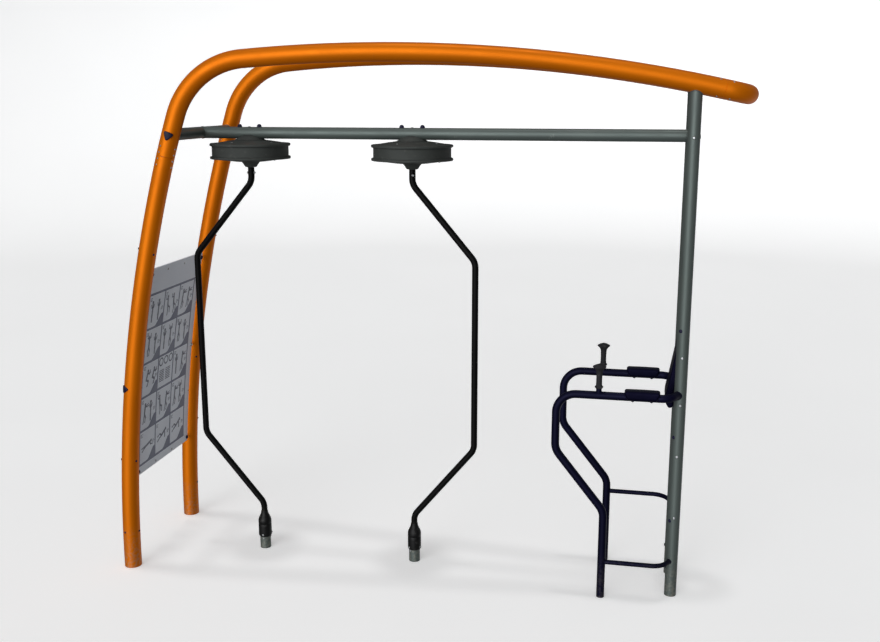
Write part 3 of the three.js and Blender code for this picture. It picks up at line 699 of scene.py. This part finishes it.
for name, node, start, end in (
    ("beam", "crossbeam", (left_cross_x, 0), (POST_X, 0)),
    ("cross_left", "left_cross_tube", (left_cross_x, -left_reach), (left_cross_x, left_reach)),
    ("cross_right", "right_cross_tube", (POST_X, -POST_HALF_WIDTH), (POST_X, POST_HALF_WIDTH)),
):
    tube = sweep(line((*start, BEAM_Z), (*end, BEAM_Z)), BEAM_R, BEAM_SIDES)
    piece(name, GREY_GREEN, [tube], [node])
for side, across in SIDES.items():
    y = across * POST_HALF_WIDTH
    top = arm_axis(POST_X, across)[0].z
    upright = sweep(line((POST_X, y, 0), (POST_X, y, top)), BEAM_R, BEAM_SIDES)
    piece(f"upright_{side}", GREY_GREEN, [upright], [f"post_{side}"])

# ---- Welds of the arch, beam and posts ----
beads = []
for across in SIDES.values():
    y = across * POST_HALF_WIDTH
    leg_way = (sin(beam_turn), 0, cos(beam_turn))
    leg_wall = (left_cross_x, across * left_reach, BEAM_Z)
    beads.append(weld((left_cross_x, 0, BEAM_Z), (0, across, 0), BEAM_R, leg_wall, leg_way, ARCH_R))
    beads.append(weld((POST_X, 0, BEAM_Z), (0, across, 0), BEAM_R, (POST_X, y, 0), (0, 0, 1), BEAM_R))
    wall, way = arm_axis(POST_X, across)
    beads.append(weld((POST_X, y, BEAM_Z), (0, 0, 1), BEAM_R, wall, way, ARCH_R))
for end_x, way_x in ((left_cross_x, -1), (POST_X, 1)):
    beads.append(weld((1000, 0, BEAM_Z), (way_x, 0, 0), BEAM_R, (end_x, 0, BEAM_Z), (0, 1, 0), BEAM_R))
piece("frame_welds", GREY_GREEN, beads, sharp=80)

# ---- Fasteners on the arch ----
def on_leg(z, azimuth, across):
    """A point on a leg's skin and the outward normal there; azimuth 0 is +X and 90 is outwards."""
    turn, x = leg_at(z)
    centre = vec(x, across * LEG_HALF_WIDTH, z)
    way = vec(sin(turn), 0, cos(turn))
    normal = level_way(across * azimuth)
    normal = (normal - way * normal.dot(way)).normalized()
    return centre + normal * (ARCH_R - SKIN_SINK), normal


for side, across in SIDES.items():
    screws = []
    screw = socket_screw(5.4, 3.6)
    for along in (-60, -20, 20, 60):
        for azimuth in (10, 116, -116):
            z = LEG_SPLICE_Z + along * cos(rad(splice_turn))
            screws.append(aimed(screw, *on_leg(z, azimuth, across)))
    for along in (-38, 38):
        centre, way = arm_axis(ARM_END_X + along * cos(rad(arm_end_slope)), across)
        top = way.cross(vec(0, 1, 0)).normalized() * -1
        for tilt in (28, 148, 208):
            normal = Matrix.Rotation(rad(tilt) * across, 3, way) @ top
            screws.append(aimed(screw, centre + normal * (ARCH_R - SKIN_SINK), normal))
    piece(f"splice_screws_{side}", STEEL, screws)

    plugs = []
    for z, azimuth in ((2204, 149), (2187, 21), (773, 149), (773, 21), (1273, -42), (258, 110), (258, 2)):
        plugs.append(aimed(dome_cap(7.5, 5.5), *on_leg(z, azimuth, across)))
    piece(f"leg_plugs_{side}", CAP, plugs)

    centre, way = arm_axis(POST_X, across)
    top = way.cross(vec(0, 1, 0)).normalized() * -1
    caps = [
        (*on_leg(BEAM_Z, 80, across), 62, vec(1, 0, 0.1), vec(0, 0, 1)),
        (*on_leg(1272, 124, across), 56, vec(1, 0, 0), vec(0, 0, 1)),
        (centre + top * (ARCH_R - SKIN_SINK), top, 62, way, way),
    ]  # where, the skin's normal there, size, where a corner points, and the tube's axis
    shapes = []
    for point, normal, size, toward, axis in caps:
        flat_way = (toward - normal * toward.dot(normal)).normalized()
        turn = Matrix((flat_way, normal.cross(flat_way), normal)).transposed()
        verts, faces = corner_cap(size, 9)
        for v in verts:
            around = (turn @ v).dot(normal.cross(axis))
            v.z -= ARCH_R - sqrt(max(1, ARCH_R**2 - around**2))
        shapes.append(moved((verts, faces), Matrix.Translation(point) @ turn.to_4x4()))
    piece(f"arch_caps_{side}", CAP, shapes)

# ---- Fasteners on the posts ----
for name, material, head, spots in (
    ("post_screws", STEEL, socket_screw(9, 5), ((2925, 90), (1591, 92), (1289, 88), (953, 95), (543, 92))),
    ("post_plugs", CAP, dome_cap(11.5, 6.5), ((1761, 120), (1076, 140), (519, 135), (197, 170))),
):
    heads = []
    for across in SIDES.values():
        for z, azimuth in spots:
            normal = level_way(across * azimuth)
            point = vec(POST_X, across * POST_HALF_WIDTH, z) + normal * (BEAM_R - SKIN_SINK)
            heads.append(aimed(head, point, normal))
    piece(name, material, heads)

# ---- Dip and leg-raise frame ----
DIP_BEND_RADII = [125, 125, 125, 90]
DIP_CORNERS = [(DIP_FOOT_X, 0), (DIP_FOOT_X, 588), (DIP_FRONT_X, 982), (DIP_FRONT_X, DIP_BAR_Z)]
GRIP_BASE_Z = 1398.3
GRIP_TOP_Z = 1553


def grip_profile():
    """Ring, ribbed body with a slight waist, and a flared, domed head."""
    profile = [(12.5, 0), (22, 0), (22.8, 2.4), (23, 3.2), *arc((22.6, 7.8), 4.3, -75, 75, 6), (21.3, 13)]
    ribs, start, pitch = 9, 18, 9.0
    for k in range(ribs * 8 + 1):
        t = k / (ribs * 8)
        waist = 19.3 - 1.1 * sin(pi * min(1, t * 1.1))
        profile.append((waist + 0.7 * cos(tau * k / 8), start + pitch * ribs * t))
    profile += [(19.6, 104), (22, 112), (26.6, 120), (32.4, 127), (37.6, 132)]
    profile += arc((37.2, 136.6), 4.6, -50, 72, 7)
    profile += [(34.5, 142.4), (28, 146.8), (18, 151), (9, 153.8), (5.4, 154.2), (5, 153), (0, 152.8)]
    return profile


for side, across in SIDES.items():
    y = across * DIP_HALF_WIDTH
    corners = [(x, y, z) for x, z in DIP_CORNERS]
    corners += [(DIP_TURN_IN_X, y, DIP_BAR_Z), (POST_X, across * POST_HALF_WIDTH, DIP_BAR_Z)]
    bar = sweep(bent_path(corners, DIP_BEND_RADII), DIP_R, 36)
    stem = sweep(line((HANDLE_X, y, DIP_BAR_Z), (HANDLE_X, y, 1398)), STEM_R, 32, bevel=1)
    piece(f"dip_bar_{side}", NAVY, [bar, stem], [f"dip_tube_{side}"])

    z = STEP_Z[side]
    rung_path = bent_path(
        [(DIP_FOOT_X, y, z), (DIP_TURN_IN_X, y, z), (POST_X, across * POST_HALF_WIDTH, z)], 110
    )
    node = {"front": "step_low", "rear": "step_high"}[side]
    piece(f"foot_rung_{side}", NAVY, [sweep(rung_path, STEP_R, 28)], [node])

    turn_in = vec(POST_X - DIP_TURN_IN_X, across * (POST_HALF_WIDTH - DIP_HALF_WIDTH), 0)
    post_wall = (POST_X, across * POST_HALF_WIDTH, 0)
    seams = [
        weld((DIP_TURN_IN_X, y, DIP_BAR_Z), turn_in, DIP_R, post_wall, (0, 0, 1), BEAM_R, 2.6),
        weld((DIP_TURN_IN_X, y, z), turn_in, STEP_R, post_wall, (0, 0, 1), BEAM_R, 2.2),
        weld((2600, y, z), (-1, 0, 0), STEP_R, (DIP_FOOT_X, y, 0), (0, 0, 1), DIP_R, 2.2),
        weld((HANDLE_X, y, 1397), (0, 0, -1), STEM_R, (0, y, DIP_BAR_Z), (1, 0, 0), DIP_R, 2.4),
    ]
    piece(f"dip_welds_{side}", NAVY, seams, sharp=80)

    body = [(r, GRIP_BASE_Z + h) for r, h in grip_profile()]
    bore = [(0, GRIP_TOP_Z - 22), (12.5, GRIP_TOP_Z - 22)]
    grip = shifted(turned([*bore, *body], 48), HANDLE_X, y)
    piece(f"hand_grip_{side}", GRIP, [grip], [f"grip_{side}"])

# ---- Pads ----
ARM_PAD = {"from": 2499, "to": 2715, "bottom": 1340, "top": 1397, "half": 42.5}
BACK_PAD_FRONT = [(2771, 1238), (2746, 1304), (2770, 1442), (2805, 1645), (2814, 1702)]
BACK_PAD_THICKNESS = 50
BACK_PAD_HALF = 118
ARM_PAD_BOLT_X = (2550, 2664)
PAD_BAR_X = POST_X + 25
SPACER_Y = 70


def edge_layers(length, radius, steps=7, plain=14):
    """(place along a piece, how far its skin is drawn in there) with both ends rounded."""
    ends = []
    for k in range(steps + 1):
        a = rad(90 * k / steps)
        ends.append((radius * (1 - cos(a)), radius * (1 - sin(a))))
    middle = [(radius + (length - 2 * radius) * k / plain, 0.0) for k in range(1, plain)]
    return ends + middle + [(length - s, i) for s, i in reversed(ends)]


def arm_pad(across):
    """A moulded loaf, open underneath to its bar, shorter below than on top, a little crowned."""
    bottom, top, half = ARM_PAD["bottom"], ARM_PAD["top"], ARM_PAD["half"]
    length = ARM_PAD["to"] - ARM_PAD["from"]
    bore = DIP_R + 0.5
    skin = soften(
        [(-bore, bottom), (-half + 9, bottom), (-half, bottom + 14), (-half, top), (half, top)]
        + [(half, bottom + 14), (half - 9, bottom), (bore, bottom)],
        20,
        6,
        closed=False,
    )
    groove = [(bore, DIP_BAR_Z), *arc((0, DIP_BAR_Z), bore, 15, 165, 10), (-bore, DIP_BAR_Z)]
    middle = Vector((0, (bottom + top) / 2 + 6))
    verts = []
    for along, inset in edge_layers(length, 15):
        x = along - length / 2
        for i, (py, pz) in enumerate(skin + groove):
            p = Vector((py, pz))
            if i < len(skin) and i not in (0, len(skin) - 1):
                p += (middle - p).normalized() * inset
            shorten = 1 - 0.16 * max(0.0, min(1.0, (top - 16 - p.y) / (top - 16 - bottom)))
            crown = 2.4 * (1 - (2 * x / length) ** 2) * (1 - (p.x / half) ** 2) if p.y > top - 14 else 0
            verts.append(vec((ARM_PAD["from"] + ARM_PAD["to"]) / 2 + x * shorten, p.x, p.y + crown - 2.4))
    count = len(skin) + len(groove)
    faces = ring_faces(len(verts) // count, count, flip=True)
    return shifted((verts, faces), y=across * DIP_HALF_WIDTH)


def spline(points, count):
    """Catmull-Rom points through the given ones."""
    made = []
    for i in range(count + 1):
        t = (len(points) - 1) * i / count
        k = min(int(t), len(points) - 2)
        u = t - k
        a, b, c, d = (Vector(points[max(0, min(len(points) - 1, j))]) for j in range(k - 1, k + 3))
        square = (2 * a - 5 * b + 4 * c - d) * u**2
        cubic = (3 * b - a - 3 * c + d) * u**3
        made.append(0.5 * (2 * b + (c - a) * u + square + cubic))
    return made


def pad_back_x(z):
    """Where the pad's back is at a height."""
    face = spline(BACK_PAD_FRONT, 60)
    ways = [(b - a).normalized() for a, b in zip(face, face[1:])]
    back = [a + Vector((way.y, -way.x)) * BACK_PAD_THICKNESS for a, way in zip(face, ways)]
    return min(back, key=lambda p: abs(p.y - z)).x


def back_pad():
    """A curved pad of even thickness with well-rounded front edges and tighter back ones."""
    face = spline(BACK_PAD_FRONT, 60)
    reach = [0.0]
    for a, b in zip(face, face[1:]):
        reach.append(reach[-1] + (b - a).length)
    half, thick = BACK_PAD_HALF, BACK_PAD_THICKNESS - 2
    section = soften([(-half, 0), (half, 0), (half, thick), (-half, thick)], 15, 7)
    dense = []
    for a, b in zip(section, section[1:] + section[:1]):
        pieces_between = max(1, round((Vector(b) - Vector(a)).length / 16))
        dense += [tuple(Vector(a).lerp(Vector(b), k / pieces_between)) for k in range(pieces_between)]
    verts = []
    for along, inset in edge_layers(reach[-1], 14, 6, 40):
        i = min(range(len(reach) - 1), key=lambda j: abs((reach[j] + reach[j + 1]) / 2 - along))
        share = (along - reach[i]) / (reach[i + 1] - reach[i])
        spot = face[i].lerp(face[i + 1], share)
        way = (face[min(i + 2, 60)] - face[max(i - 1, 0)]).normalized()
        back = Vector((way.y, -way.x))
        for sy, depth in dense:
            inward = Vector((0, thick / 2)) - Vector((sy * 0.12, depth))
            p = Vector((sy, depth)) + inward.normalized() * inset
            bow = 3.0 * (1 - (sy / half) ** 2) * sin(pi * along / reach[-1]) if depth < 8 else 0
            q = spot + back * (p.y + 2 - bow)
            verts.append(vec(q.x, p.x, q.y))
    return verts, ring_faces(len(verts) // len(dense), len(dense), flip=True)


for side, across in SIDES.items():
    y = across * DIP_HALF_WIDTH
    shape = arm_pad(across)
    pad = piece(f"arm_rest_{side}", PAD, [shape], [f"arm_pad_{side}"])
    under = DIP_BAR_Z - DIP_R + SKIN_SINK
    bolts = [aimed(dome_cap(9, 7), vec(x, y, under), vec(0, 0, -1)) for x in ARM_PAD_BOLT_X]
    piece(f"arm_rest_bolts_{side}", CAP, bolts)

rest = piece("back_rest", PAD, [back_pad()], ["back_pad"])

for level, z in PAD_BAR_Z.items():
    parts = [shifted(rounded_box((6, 2 * POST_HALF_WIDTH - 60, 40), 1.5), PAD_BAR_X, 0, z)]
    heads = []
    for y in (-SPACER_Y, SPACER_Y):
        parts.append(sweep(line((PAD_BAR_X, y, z), (pad_back_x(z) + 1, y, z)), 13, 28, bevel=0.8))
        heads.append(aimed(dome_cap(11, 8), vec(PAD_BAR_X + 2.8, y, z), vec(1, 0, 0)))
    piece(f"rest_bar_{level}", GREY_GREEN, parts, [f"pad_bar_{level}"])
    piece(f"rest_bolts_{level}", CAP, heads)

# ---- Sign ----
SIGN_R = LEG_BEND_R - SIGN_INSET
sign_foot = asin(SIGN_BOTTOM_Z / SIGN_R)
sign_length = SIGN_R * (asin(SIGN_TOP_Z / SIGN_R) - sign_foot)


def sign_out(v):
    """The way the printed face looks at v up the sign."""
    turn = sign_foot + v / SIGN_R
    return vec(cos(turn), 0, -sin(turn))


def on_sign(u, v, proud=0.0):
    """A point u across the sign (front is negative) and v up it, proud of its printed face."""
    out = sign_out(v)
    centre = vec(LEG_FOOT_X + LEG_BEND_R, u, 0)
    return centre - out * (SIGN_R - SIGN_THICKNESS / 2 - proud)


def sign_board():
    """A board lofted up the curve of the legs, with rounded corners and softened edges."""
    corner, bevel, steps = 16, 1.2, 24
    ends = [0, bevel, 3, 7, corner]
    spaced = [corner + (sign_length - 2 * corner) * k / steps for k in range(1, steps)]
    verts = []
    heights = ends + spaced + [sign_length - v for v in reversed(ends)]
    for v in heights:
        edge = min(v, sign_length - v, corner)
        half = SIGN_WIDTH / 2 - corner + sqrt(corner**2 - (corner - edge) ** 2)
        back, face = -SIGN_THICKNESS, 0.0
        if edge == 0:
            back, face = back + bevel, face - bevel
        loop = [(half - bevel, face), (half, face - bevel), (half, back + bevel), (half - bevel, back)]
        verts += [on_sign(u, v, h) for u, h in loop]
        verts += [on_sign(-u, v, h) for u, h in reversed(loop)]
    return verts, ring_faces(len(heights), 8)


def flat(outline, proud):
    """A flat printed shape, facing out whichever way its outline goes round."""
    turn = sum(a[0] * b[1] - b[0] * a[1] for a, b in zip(outline, [*outline[1:], outline[0]]))
    face = list(range(len(outline)))
    return [on_sign(u, v, proud) for u, v in outline], [face if turn > 0 else face[::-1]]


def stroke(a, b, width, proud, round_ends=True):
    """A straight printed line from a to b."""
    a, b = Vector(a), Vector(b)
    start = deg(atan2(b.y - a.y, b.x - a.x))
    if round_ends:
        outline = arc(b, width / 2, start - 90, start + 90)
        outline += arc(a, width / 2, start + 90, start + 270)
    else:
        side = (b - a).normalized().orthogonal() * (width / 2)
        outline = [a - side, a + side, b + side, b - side]
    return flat([tuple(p) for p in outline], proud)


COLUMNS = (-364, -138, 88, 314)
ROWS = tuple(65 + 242 * k for k in range(6))
PRINT = 0.3  # how far the printed layers stand off the board

piece("sign_board", SIGN, [sign_board()], ["sign_panel"])

UPRIGHT_STEPS = 24  # short pieces, so that the upright lines follow the curve
grid = []
for u in COLUMNS:
    rise = (ROWS[-1] - ROWS[0]) / UPRIGHT_STEPS
    for k in range(UPRIGHT_STEPS):
        low = ROWS[0] + rise * k
        grid.append(stroke((u, low), (u, low + rise), 14, PRINT, round_ends=k in (0, UPRIGHT_STEPS - 1)))
grid += [stroke((COLUMNS[0], v), (COLUMNS[-1], v), 16, PRINT) for v in ROWS]
WEDGE = [(0, 0), (0, 84), (-30, 80), (-92, 20), (-108, 10), (-128, 8), (-128, 0)]
for right in COLUMNS[1:]:
    for low in ROWS[:-1]:
        if (right, low) != (COLUMNS[2], ROWS[2]):
            grid.append(flat([(right + du, low + dv) for du, dv in WEDGE], PRINT))
piece("sign_grid", SIGN_DARK, grid)


def figure(u, v, size, pose):
    """A stick figure: pose is the angles of the body, both arms, both forearms, thighs and shins."""
    body, arms, forearms, thighs, shins = pose
    made = []
    hip = Vector((u, v))

    def limb(start, angle, length, width):
        end = start + Vector((sin(rad(angle)), cos(rad(angle)))) * length * size
        made.append(stroke(start, end, width * size, 2 * PRINT))
        return end

    neck = limb(hip, body, 0.34, 0.12)
    head = neck + (neck - hip).normalized() * 0.11 * size
    made.append(flat(arc(head, 0.075 * size, 0, 345, 15), 2 * PRINT))
    for arm, forearm in zip(arms, forearms):
        limb(limb(neck, arm, 0.17, 0.06), forearm, 0.17, 0.05)
    for thigh, shin in zip(thighs, shins):
        limb(limb(hip, thigh, 0.24, 0.09), shin, 0.24, 0.065)
    return made


POSES = [
    (0, (150, -150), (20, -20), (175, -175), (180, 180)),
    (0, (60, -60), (0, 0), (160, -160), (185, -185)),
    (8, (100, 80), (90, 70), (150, -170), (200, -160)),
    (20, (120, 100), (60, 40), (110, 120), (200, 210)),
    (-6, (170, -90), (160, -10), (170, 120), (190, 180)),
    (75, (160, 150), (90, 100), (-95, -110), (-95, -120)),
    (60, (180, 170), (180, 175), (-110, -60), (-120, -110)),
]
chooser = random.Random(4)
figures = []
for i in range(3):
    for k in range(5):
        centre = (COLUMNS[i] + COLUMNS[i + 1]) / 2
        low = ROWS[k]
        if (i, k) == (1, 2):
            continue
        for n in (-1, 1) if k else (0,):
            pose = chooser.choice(POSES[5:] if k == 0 else POSES[:5])
            figures += figure(centre + n * 44 - 12, low + 118, 146, pose)
        for n in range(3):
            start = (centre - 97, low + 216 - 9 * n)
            figures.append(stroke(start, (start[0] + (26, 18, 22)[n], start[1]), 4, 2 * PRINT))
            start = (centre + 70, low + 132 - 9 * n)
            figures.append(stroke(start, (start[0] + (24, 30, 18)[n], start[1]), 4, 2 * PRINT))

# The middle cell: three rings over two plain stacks of bars
middle, low = (COLUMNS[1] + COLUMNS[2]) / 2, ROWS[2]
for n in (-1, 0, 1):
    ring = arc((middle + n * 72, low + 196), 27, 0, 360, 24)
    figures += [stroke(a, b, 10, 2 * PRINT) for a, b in zip(ring, ring[1:])]
for n in range(7):
    for start in (middle - 88, middle + 4):
        figures.append(stroke((start, low + 52 + 13 * n), (start + 66, low + 52 + 13 * n), 7, 2 * PRINT))
piece("sign_figures", SIGN_INK, figures)

rivets = []
for across in (-1, 1):
    for u, v in ((across * 126, 21), (across * 126 - 25, 1424), (across * 378, 400), (across * 378, 1080)):
        rivets.append(aimed(socket_screw(8, 4), on_sign(u, v), sign_out(v)))
piece("sign_rivets", STEEL, rivets)
SIGN_BOLT_U = 376
SIGN_LUG_U = 394
# How far up the board, and the material
SIGN_BOLTS = {"low": (0.02, CAP), "middle": (0.52, STEEL), "high": (0.975, CAP)}
lugs = []
for place, (share, material) in SIGN_BOLTS.items():
    v = share * sign_length
    heads = [aimed(dome_cap(15, 11), on_sign(a * SIGN_BOLT_U, v), sign_out(v)) for a in (-1, 1)]
    piece(f"sign_bolts_{place}", material, heads, sharp=50)
    for across in SIDES.values():
        lug = rounded_box((44, 40, 4), 1.2, 2)
        spot = on_sign(across * SIGN_LUG_U, v, -SIGN_THICKNESS - 2.3)
        lugs.append(aimed(lug, spot, sign_out(v)))
piece("sign_lugs", ORANGE, lugs)

# ---- Brake drums ----
SADDLE_SEAT_Z = 2884
NUT_OFFSET = 68
HUB_Z = 2706


def saddle_profile():
    """A dome on the top cover, with the bearing's housing under it."""
    base = SADDLE_SEAT_Z + 0.5
    dome = [(98.5, base), (97, base + 3.5), *arc((0, 2781), 142, 49.5, 89, 16), (0, 2923)]
    return [(0, 2881), (22, 2881), (22, 2866), (84, 2866), (85, base), *dome]


def top_cover_profile():
    seat = SADDLE_SEAT_Z
    inner = [(87, seat - 7), (150, seat - 15), (232, 2851)]
    rim = [(244, 2846.3), (263, 2846.3), (263, 2862.5), (243, seat - 21.5)]
    outer = [(236, seat - 21.5), (200, seat - 15), (150, seat - 7), (98, seat), (87, seat)]
    return soften([*inner, *rim, *outer], 5, 4)


def band_profile():
    """The band's waist, with a small fillet into each rim."""
    half = [(254, 2778.4), (250.6, 2781.5), (250, 2786)]
    return [(245, 2778.4), *half, *[(r, 5624 - z) for r, z in reversed(half)], (245, 2845.6)]


def bottom_cover_profile():
    outer = [(66, HUB_Z + 36.4), (110, HUB_Z + 39.2), (238, 2762), (263, 2762), (263, 2778)]
    return soften([*outer, (244, 2778), (226, 2769), (66, HUB_Z + 43)], 5, 4)


def hub_profile():
    cone = [(34, 0), (40, 6), (52, 25), (58, 32), (64.5, 37), (64.5, 43), (31, 43), (31, 8), (19.8, 8)]
    return soften([(19.8, HUB_Z), *[(r, HUB_Z + h) for r, h in cone]], 4, 4)


def nut_profile():
    """A dome nut with a flange on the beam, and its shank down to the saddle."""
    flange = [(0, -80), (5.9, -80), (5.9, 0.2), (16, 0.2), (16, 3), (15.2, 3.6)]
    dome = [(14.8 * cos(rad(a)), 5 + 13.6 * sin(rad(a))) for a in range(0, 90, 9)]
    return [*flange, *dome, (0, 18.6)]


BOOT_PROFILE = [(22.2, 182), (45.2, 182), (46, 183), (46, 205), (45, 213), (42, 223), (36.5, 235), (31, 246)]
BOOT_PROFILE += [(27.5, 254), (25.4, 262), (24.4, 270), (24, 275), (23.2, 276), (22.2, 276)]
CUP_PROFILE = [(38.8, 87.6), (39.4, 87), (40.6, 87), (41.8, 87.8), (44.6, 92.5), (45.8, 96), (46, 100)]
CUP_PROFILE += [(46, 160), (45.6, 179), (44.8, 181), (30, 181), (30, 151), (38.8, 151)]
STUB_PROFILE = [(34.85, 0), (BEAM_R, 0), (BEAM_R, 149), (37.2, 150), (34.85, 150)]

SHELLS = [
    ("saddle", "drum_saddle", saddle_profile(), 96),
    ("top_cover", "drum_top_cover", top_cover_profile(), 128),
    ("band", "drum_band", band_profile(), 128),
    ("bottom_cover", "drum_bottom_cover", bottom_cover_profile(), 128),
    ("hub", "hub_cone", hub_profile(), 64),
]  # piece, the node it replaces, profile and sides

for crank, (x, reach) in CRANKS.items():
    body = f"crank_{crank}"

    for name, node, profile, sides in SHELLS:
        shell = shifted(turned(profile, sides), x)
        piece(f"{name}_{crank}", DRUM, [shell], [f"{node}_{crank}"])

    cover_screws = []
    for degrees in (-108, -18, 72, 162):
        out_way = level_way(degrees)
        for r, z, up in ((180, 2871.6, 1), (200, 2756.2, -1)):
            spot = vec(x, 0, z) + out_way * r
            cover_screws.append(aimed(socket_screw(5.5, 3), spot, out_way * 0.16 + vec(0, 0, up)))
    piece(f"cover_screws_{crank}", STEEL, cover_screws)

    seat = BEAM_Z + BEAM_R
    for place, offset in (("inner", -reach * NUT_OFFSET), ("outer", reach * NUT_OFFSET)):
        nut = shifted(turned(nut_profile(), 40), x + offset, 0, seat)
        node = f"beam_bolt_{place}_{crank}"
        piece(f"nut_{place}_{crank}", CAP, [nut], [node])
    plug = shifted(dome_cap(11, 4), x, 0, seat - 0.6)
    piece(f"beam_plug_{crank}", GREY_GREEN, [plug], sharp=50)

    corners = [(x + reach * out, 0, z) for out, z in POLE_CORNERS]
    pole = sweep(bent_path(corners, POLE_BEND_R), POLE_R, 36, bevel=1)
    piece(f"pole_{crank}", BLACK, [pole], [f"crank_pole_{crank}"], body=body)
    through = level_way(BOLT_TURN[crank])
    middle = vec(x, 0, CROSS_BOLT_Z)
    heads = [aimed(socket_screw(8.5, 7.6), middle + through * end, through * end) for end in (-21.3, 21.3)]
    shank = sweep(line(middle - through * 21, middle + through * 21), 4.9, 16)
    piece(f"pin_{crank}", STEEL, [*heads, shank], [f"cross_bolt_{crank}"], body=body)

    boot = shifted(turned(BOOT_PROFILE, 64), x)
    piece(f"flare_{crank}", BOOT, [boot], [f"boot_{crank}"], body=body)
    cup = shifted(turned(CUP_PROFILE, 64), x)
    piece(f"cup_{crank}", BOOT, [cup], [f"bearing_cup_{crank}"])
    stub = shifted(turned(STUB_PROFILE, 56), x)
    piece(f"stub_{crank}", GREY_GREEN, [stub], [f"stub_post_{crank}"])

    foot_screws = []
    for k in range(3):
        out_way = level_way(FOOT_SCREW_TURN[crank] + 120 * k)
        foot_screws.append(aimed(socket_screw(7.5, 5), vec(x, 0, 105) + out_way * 45.6, out_way))
        foot_screws.append(aimed(socket_screw(6, 4), vec(x, 0, 76) + out_way * (BEAM_R - 0.3), out_way))
    piece(f"foot_screws_{crank}", STEEL, foot_screws)

# ---- Studio ----
FLOOR_FLAT_R = 15000
FLOOR_CURVE_R = 7000
FLOOR_TOP_Z = 16000
AMBIENT = 0.1
# Soft boxes in the surrounding light: towards, strength, tightness
SOFT_BOXES = [((-0.28, -1.0, 0.21), 4.1, 9.0), ((0.55, 0.85, -0.45), 0.65, 7.0), ((0, 0, 1), 0.15, 1.0)]


def make_studio():
    curve = arc((FLOOR_FLAT_R, FLOOR_CURVE_R), FLOOR_CURVE_R, -90, 0, 9)
    bowl = [(0, 0), *curve, (FLOOR_FLAT_R + FLOOR_CURVE_R, FLOOR_TOP_Z)]
    verts, faces = turned(bowl, 96)
    mesh = bpy.data.meshes.new("studio_floor")
    mesh.from_pydata([(v.x / 1000, v.y / 1000, v.z / 1000 - 0.001) for v in verts], [], faces)
    mesh.shade_smooth()
    n = Material("studio_floor")
    pale = n.finish(
        {
            "Base Color": n.mix(n.drift(0.6, 3), srgb(243, 243, 243), srgb(240, 240, 240)),
            "Roughness": 0.85,
            "Specular IOR Level": 0.2,
            "Emission Color": (1, 1, 1, 1),
            "Emission Strength": 0.35,
        }
    )
    mesh.materials.append(pale)
    floor = add_object("studio_floor", mesh)
    floor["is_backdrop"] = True

    # The pale floor doesn't fill in the shade, and the sign doesn't shade the leg beside it.
    for shape in (floor, bpy.data.objects["sign_board"]):
        for ray in ("visible_diffuse", "visible_glossy", "visible_shadow"):
            setattr(shape, ray, False)

    world = bpy.data.worlds.new("studio")
    bpy.context.scene.world = world
    world.use_nodes = True
    n = Nodes(world.node_tree, "Generated")
    level = AMBIENT
    for towards, strength, tightness in SOFT_BOXES:
        way = Vector(towards).normalized()
        facing = n.add("VectorMath", {0: n.coords, 1: way}, "Value", operation="DOT_PRODUCT")
        spot = n.maths("POWER", n.maths("MAXIMUM", facing, 0.0), tightness)
        level = n.maths("ADD", n.maths("MULTIPLY", spot, strength), level)
    n.fill(n.tree.nodes["Background"], {"Color": (0.98, 0.99, 1.0, 1), "Strength": level})

    sun = bpy.data.lights.new("overhead", "SUN")
    sun.energy = 0.45
    sun.angle = rad(4)
    add_object("overhead", sun)
    bpy.context.scene.view_settings.view_transform = "Standard"


make_studio()

# ---- Materials of the pieces that come straight from the CAD ----
carried_over = [
    (STEEL, ("leg_splice_", "upper_bearing_", "lower_bearing_", "foot_bearing_")),
    (BLACKENED, ("spindle_",)),
    (ALUMINIUM, ("rotor_disc_",)),
    (MAGNET, ("brake_magnets_",)),
]
for material, beginnings in carried_over:
    for name, obj in frame["nodes"].items():
        if name.startswith(beginnings):
            obj.data.materials.clear()
            obj.data.materials.append(material)

low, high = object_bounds()
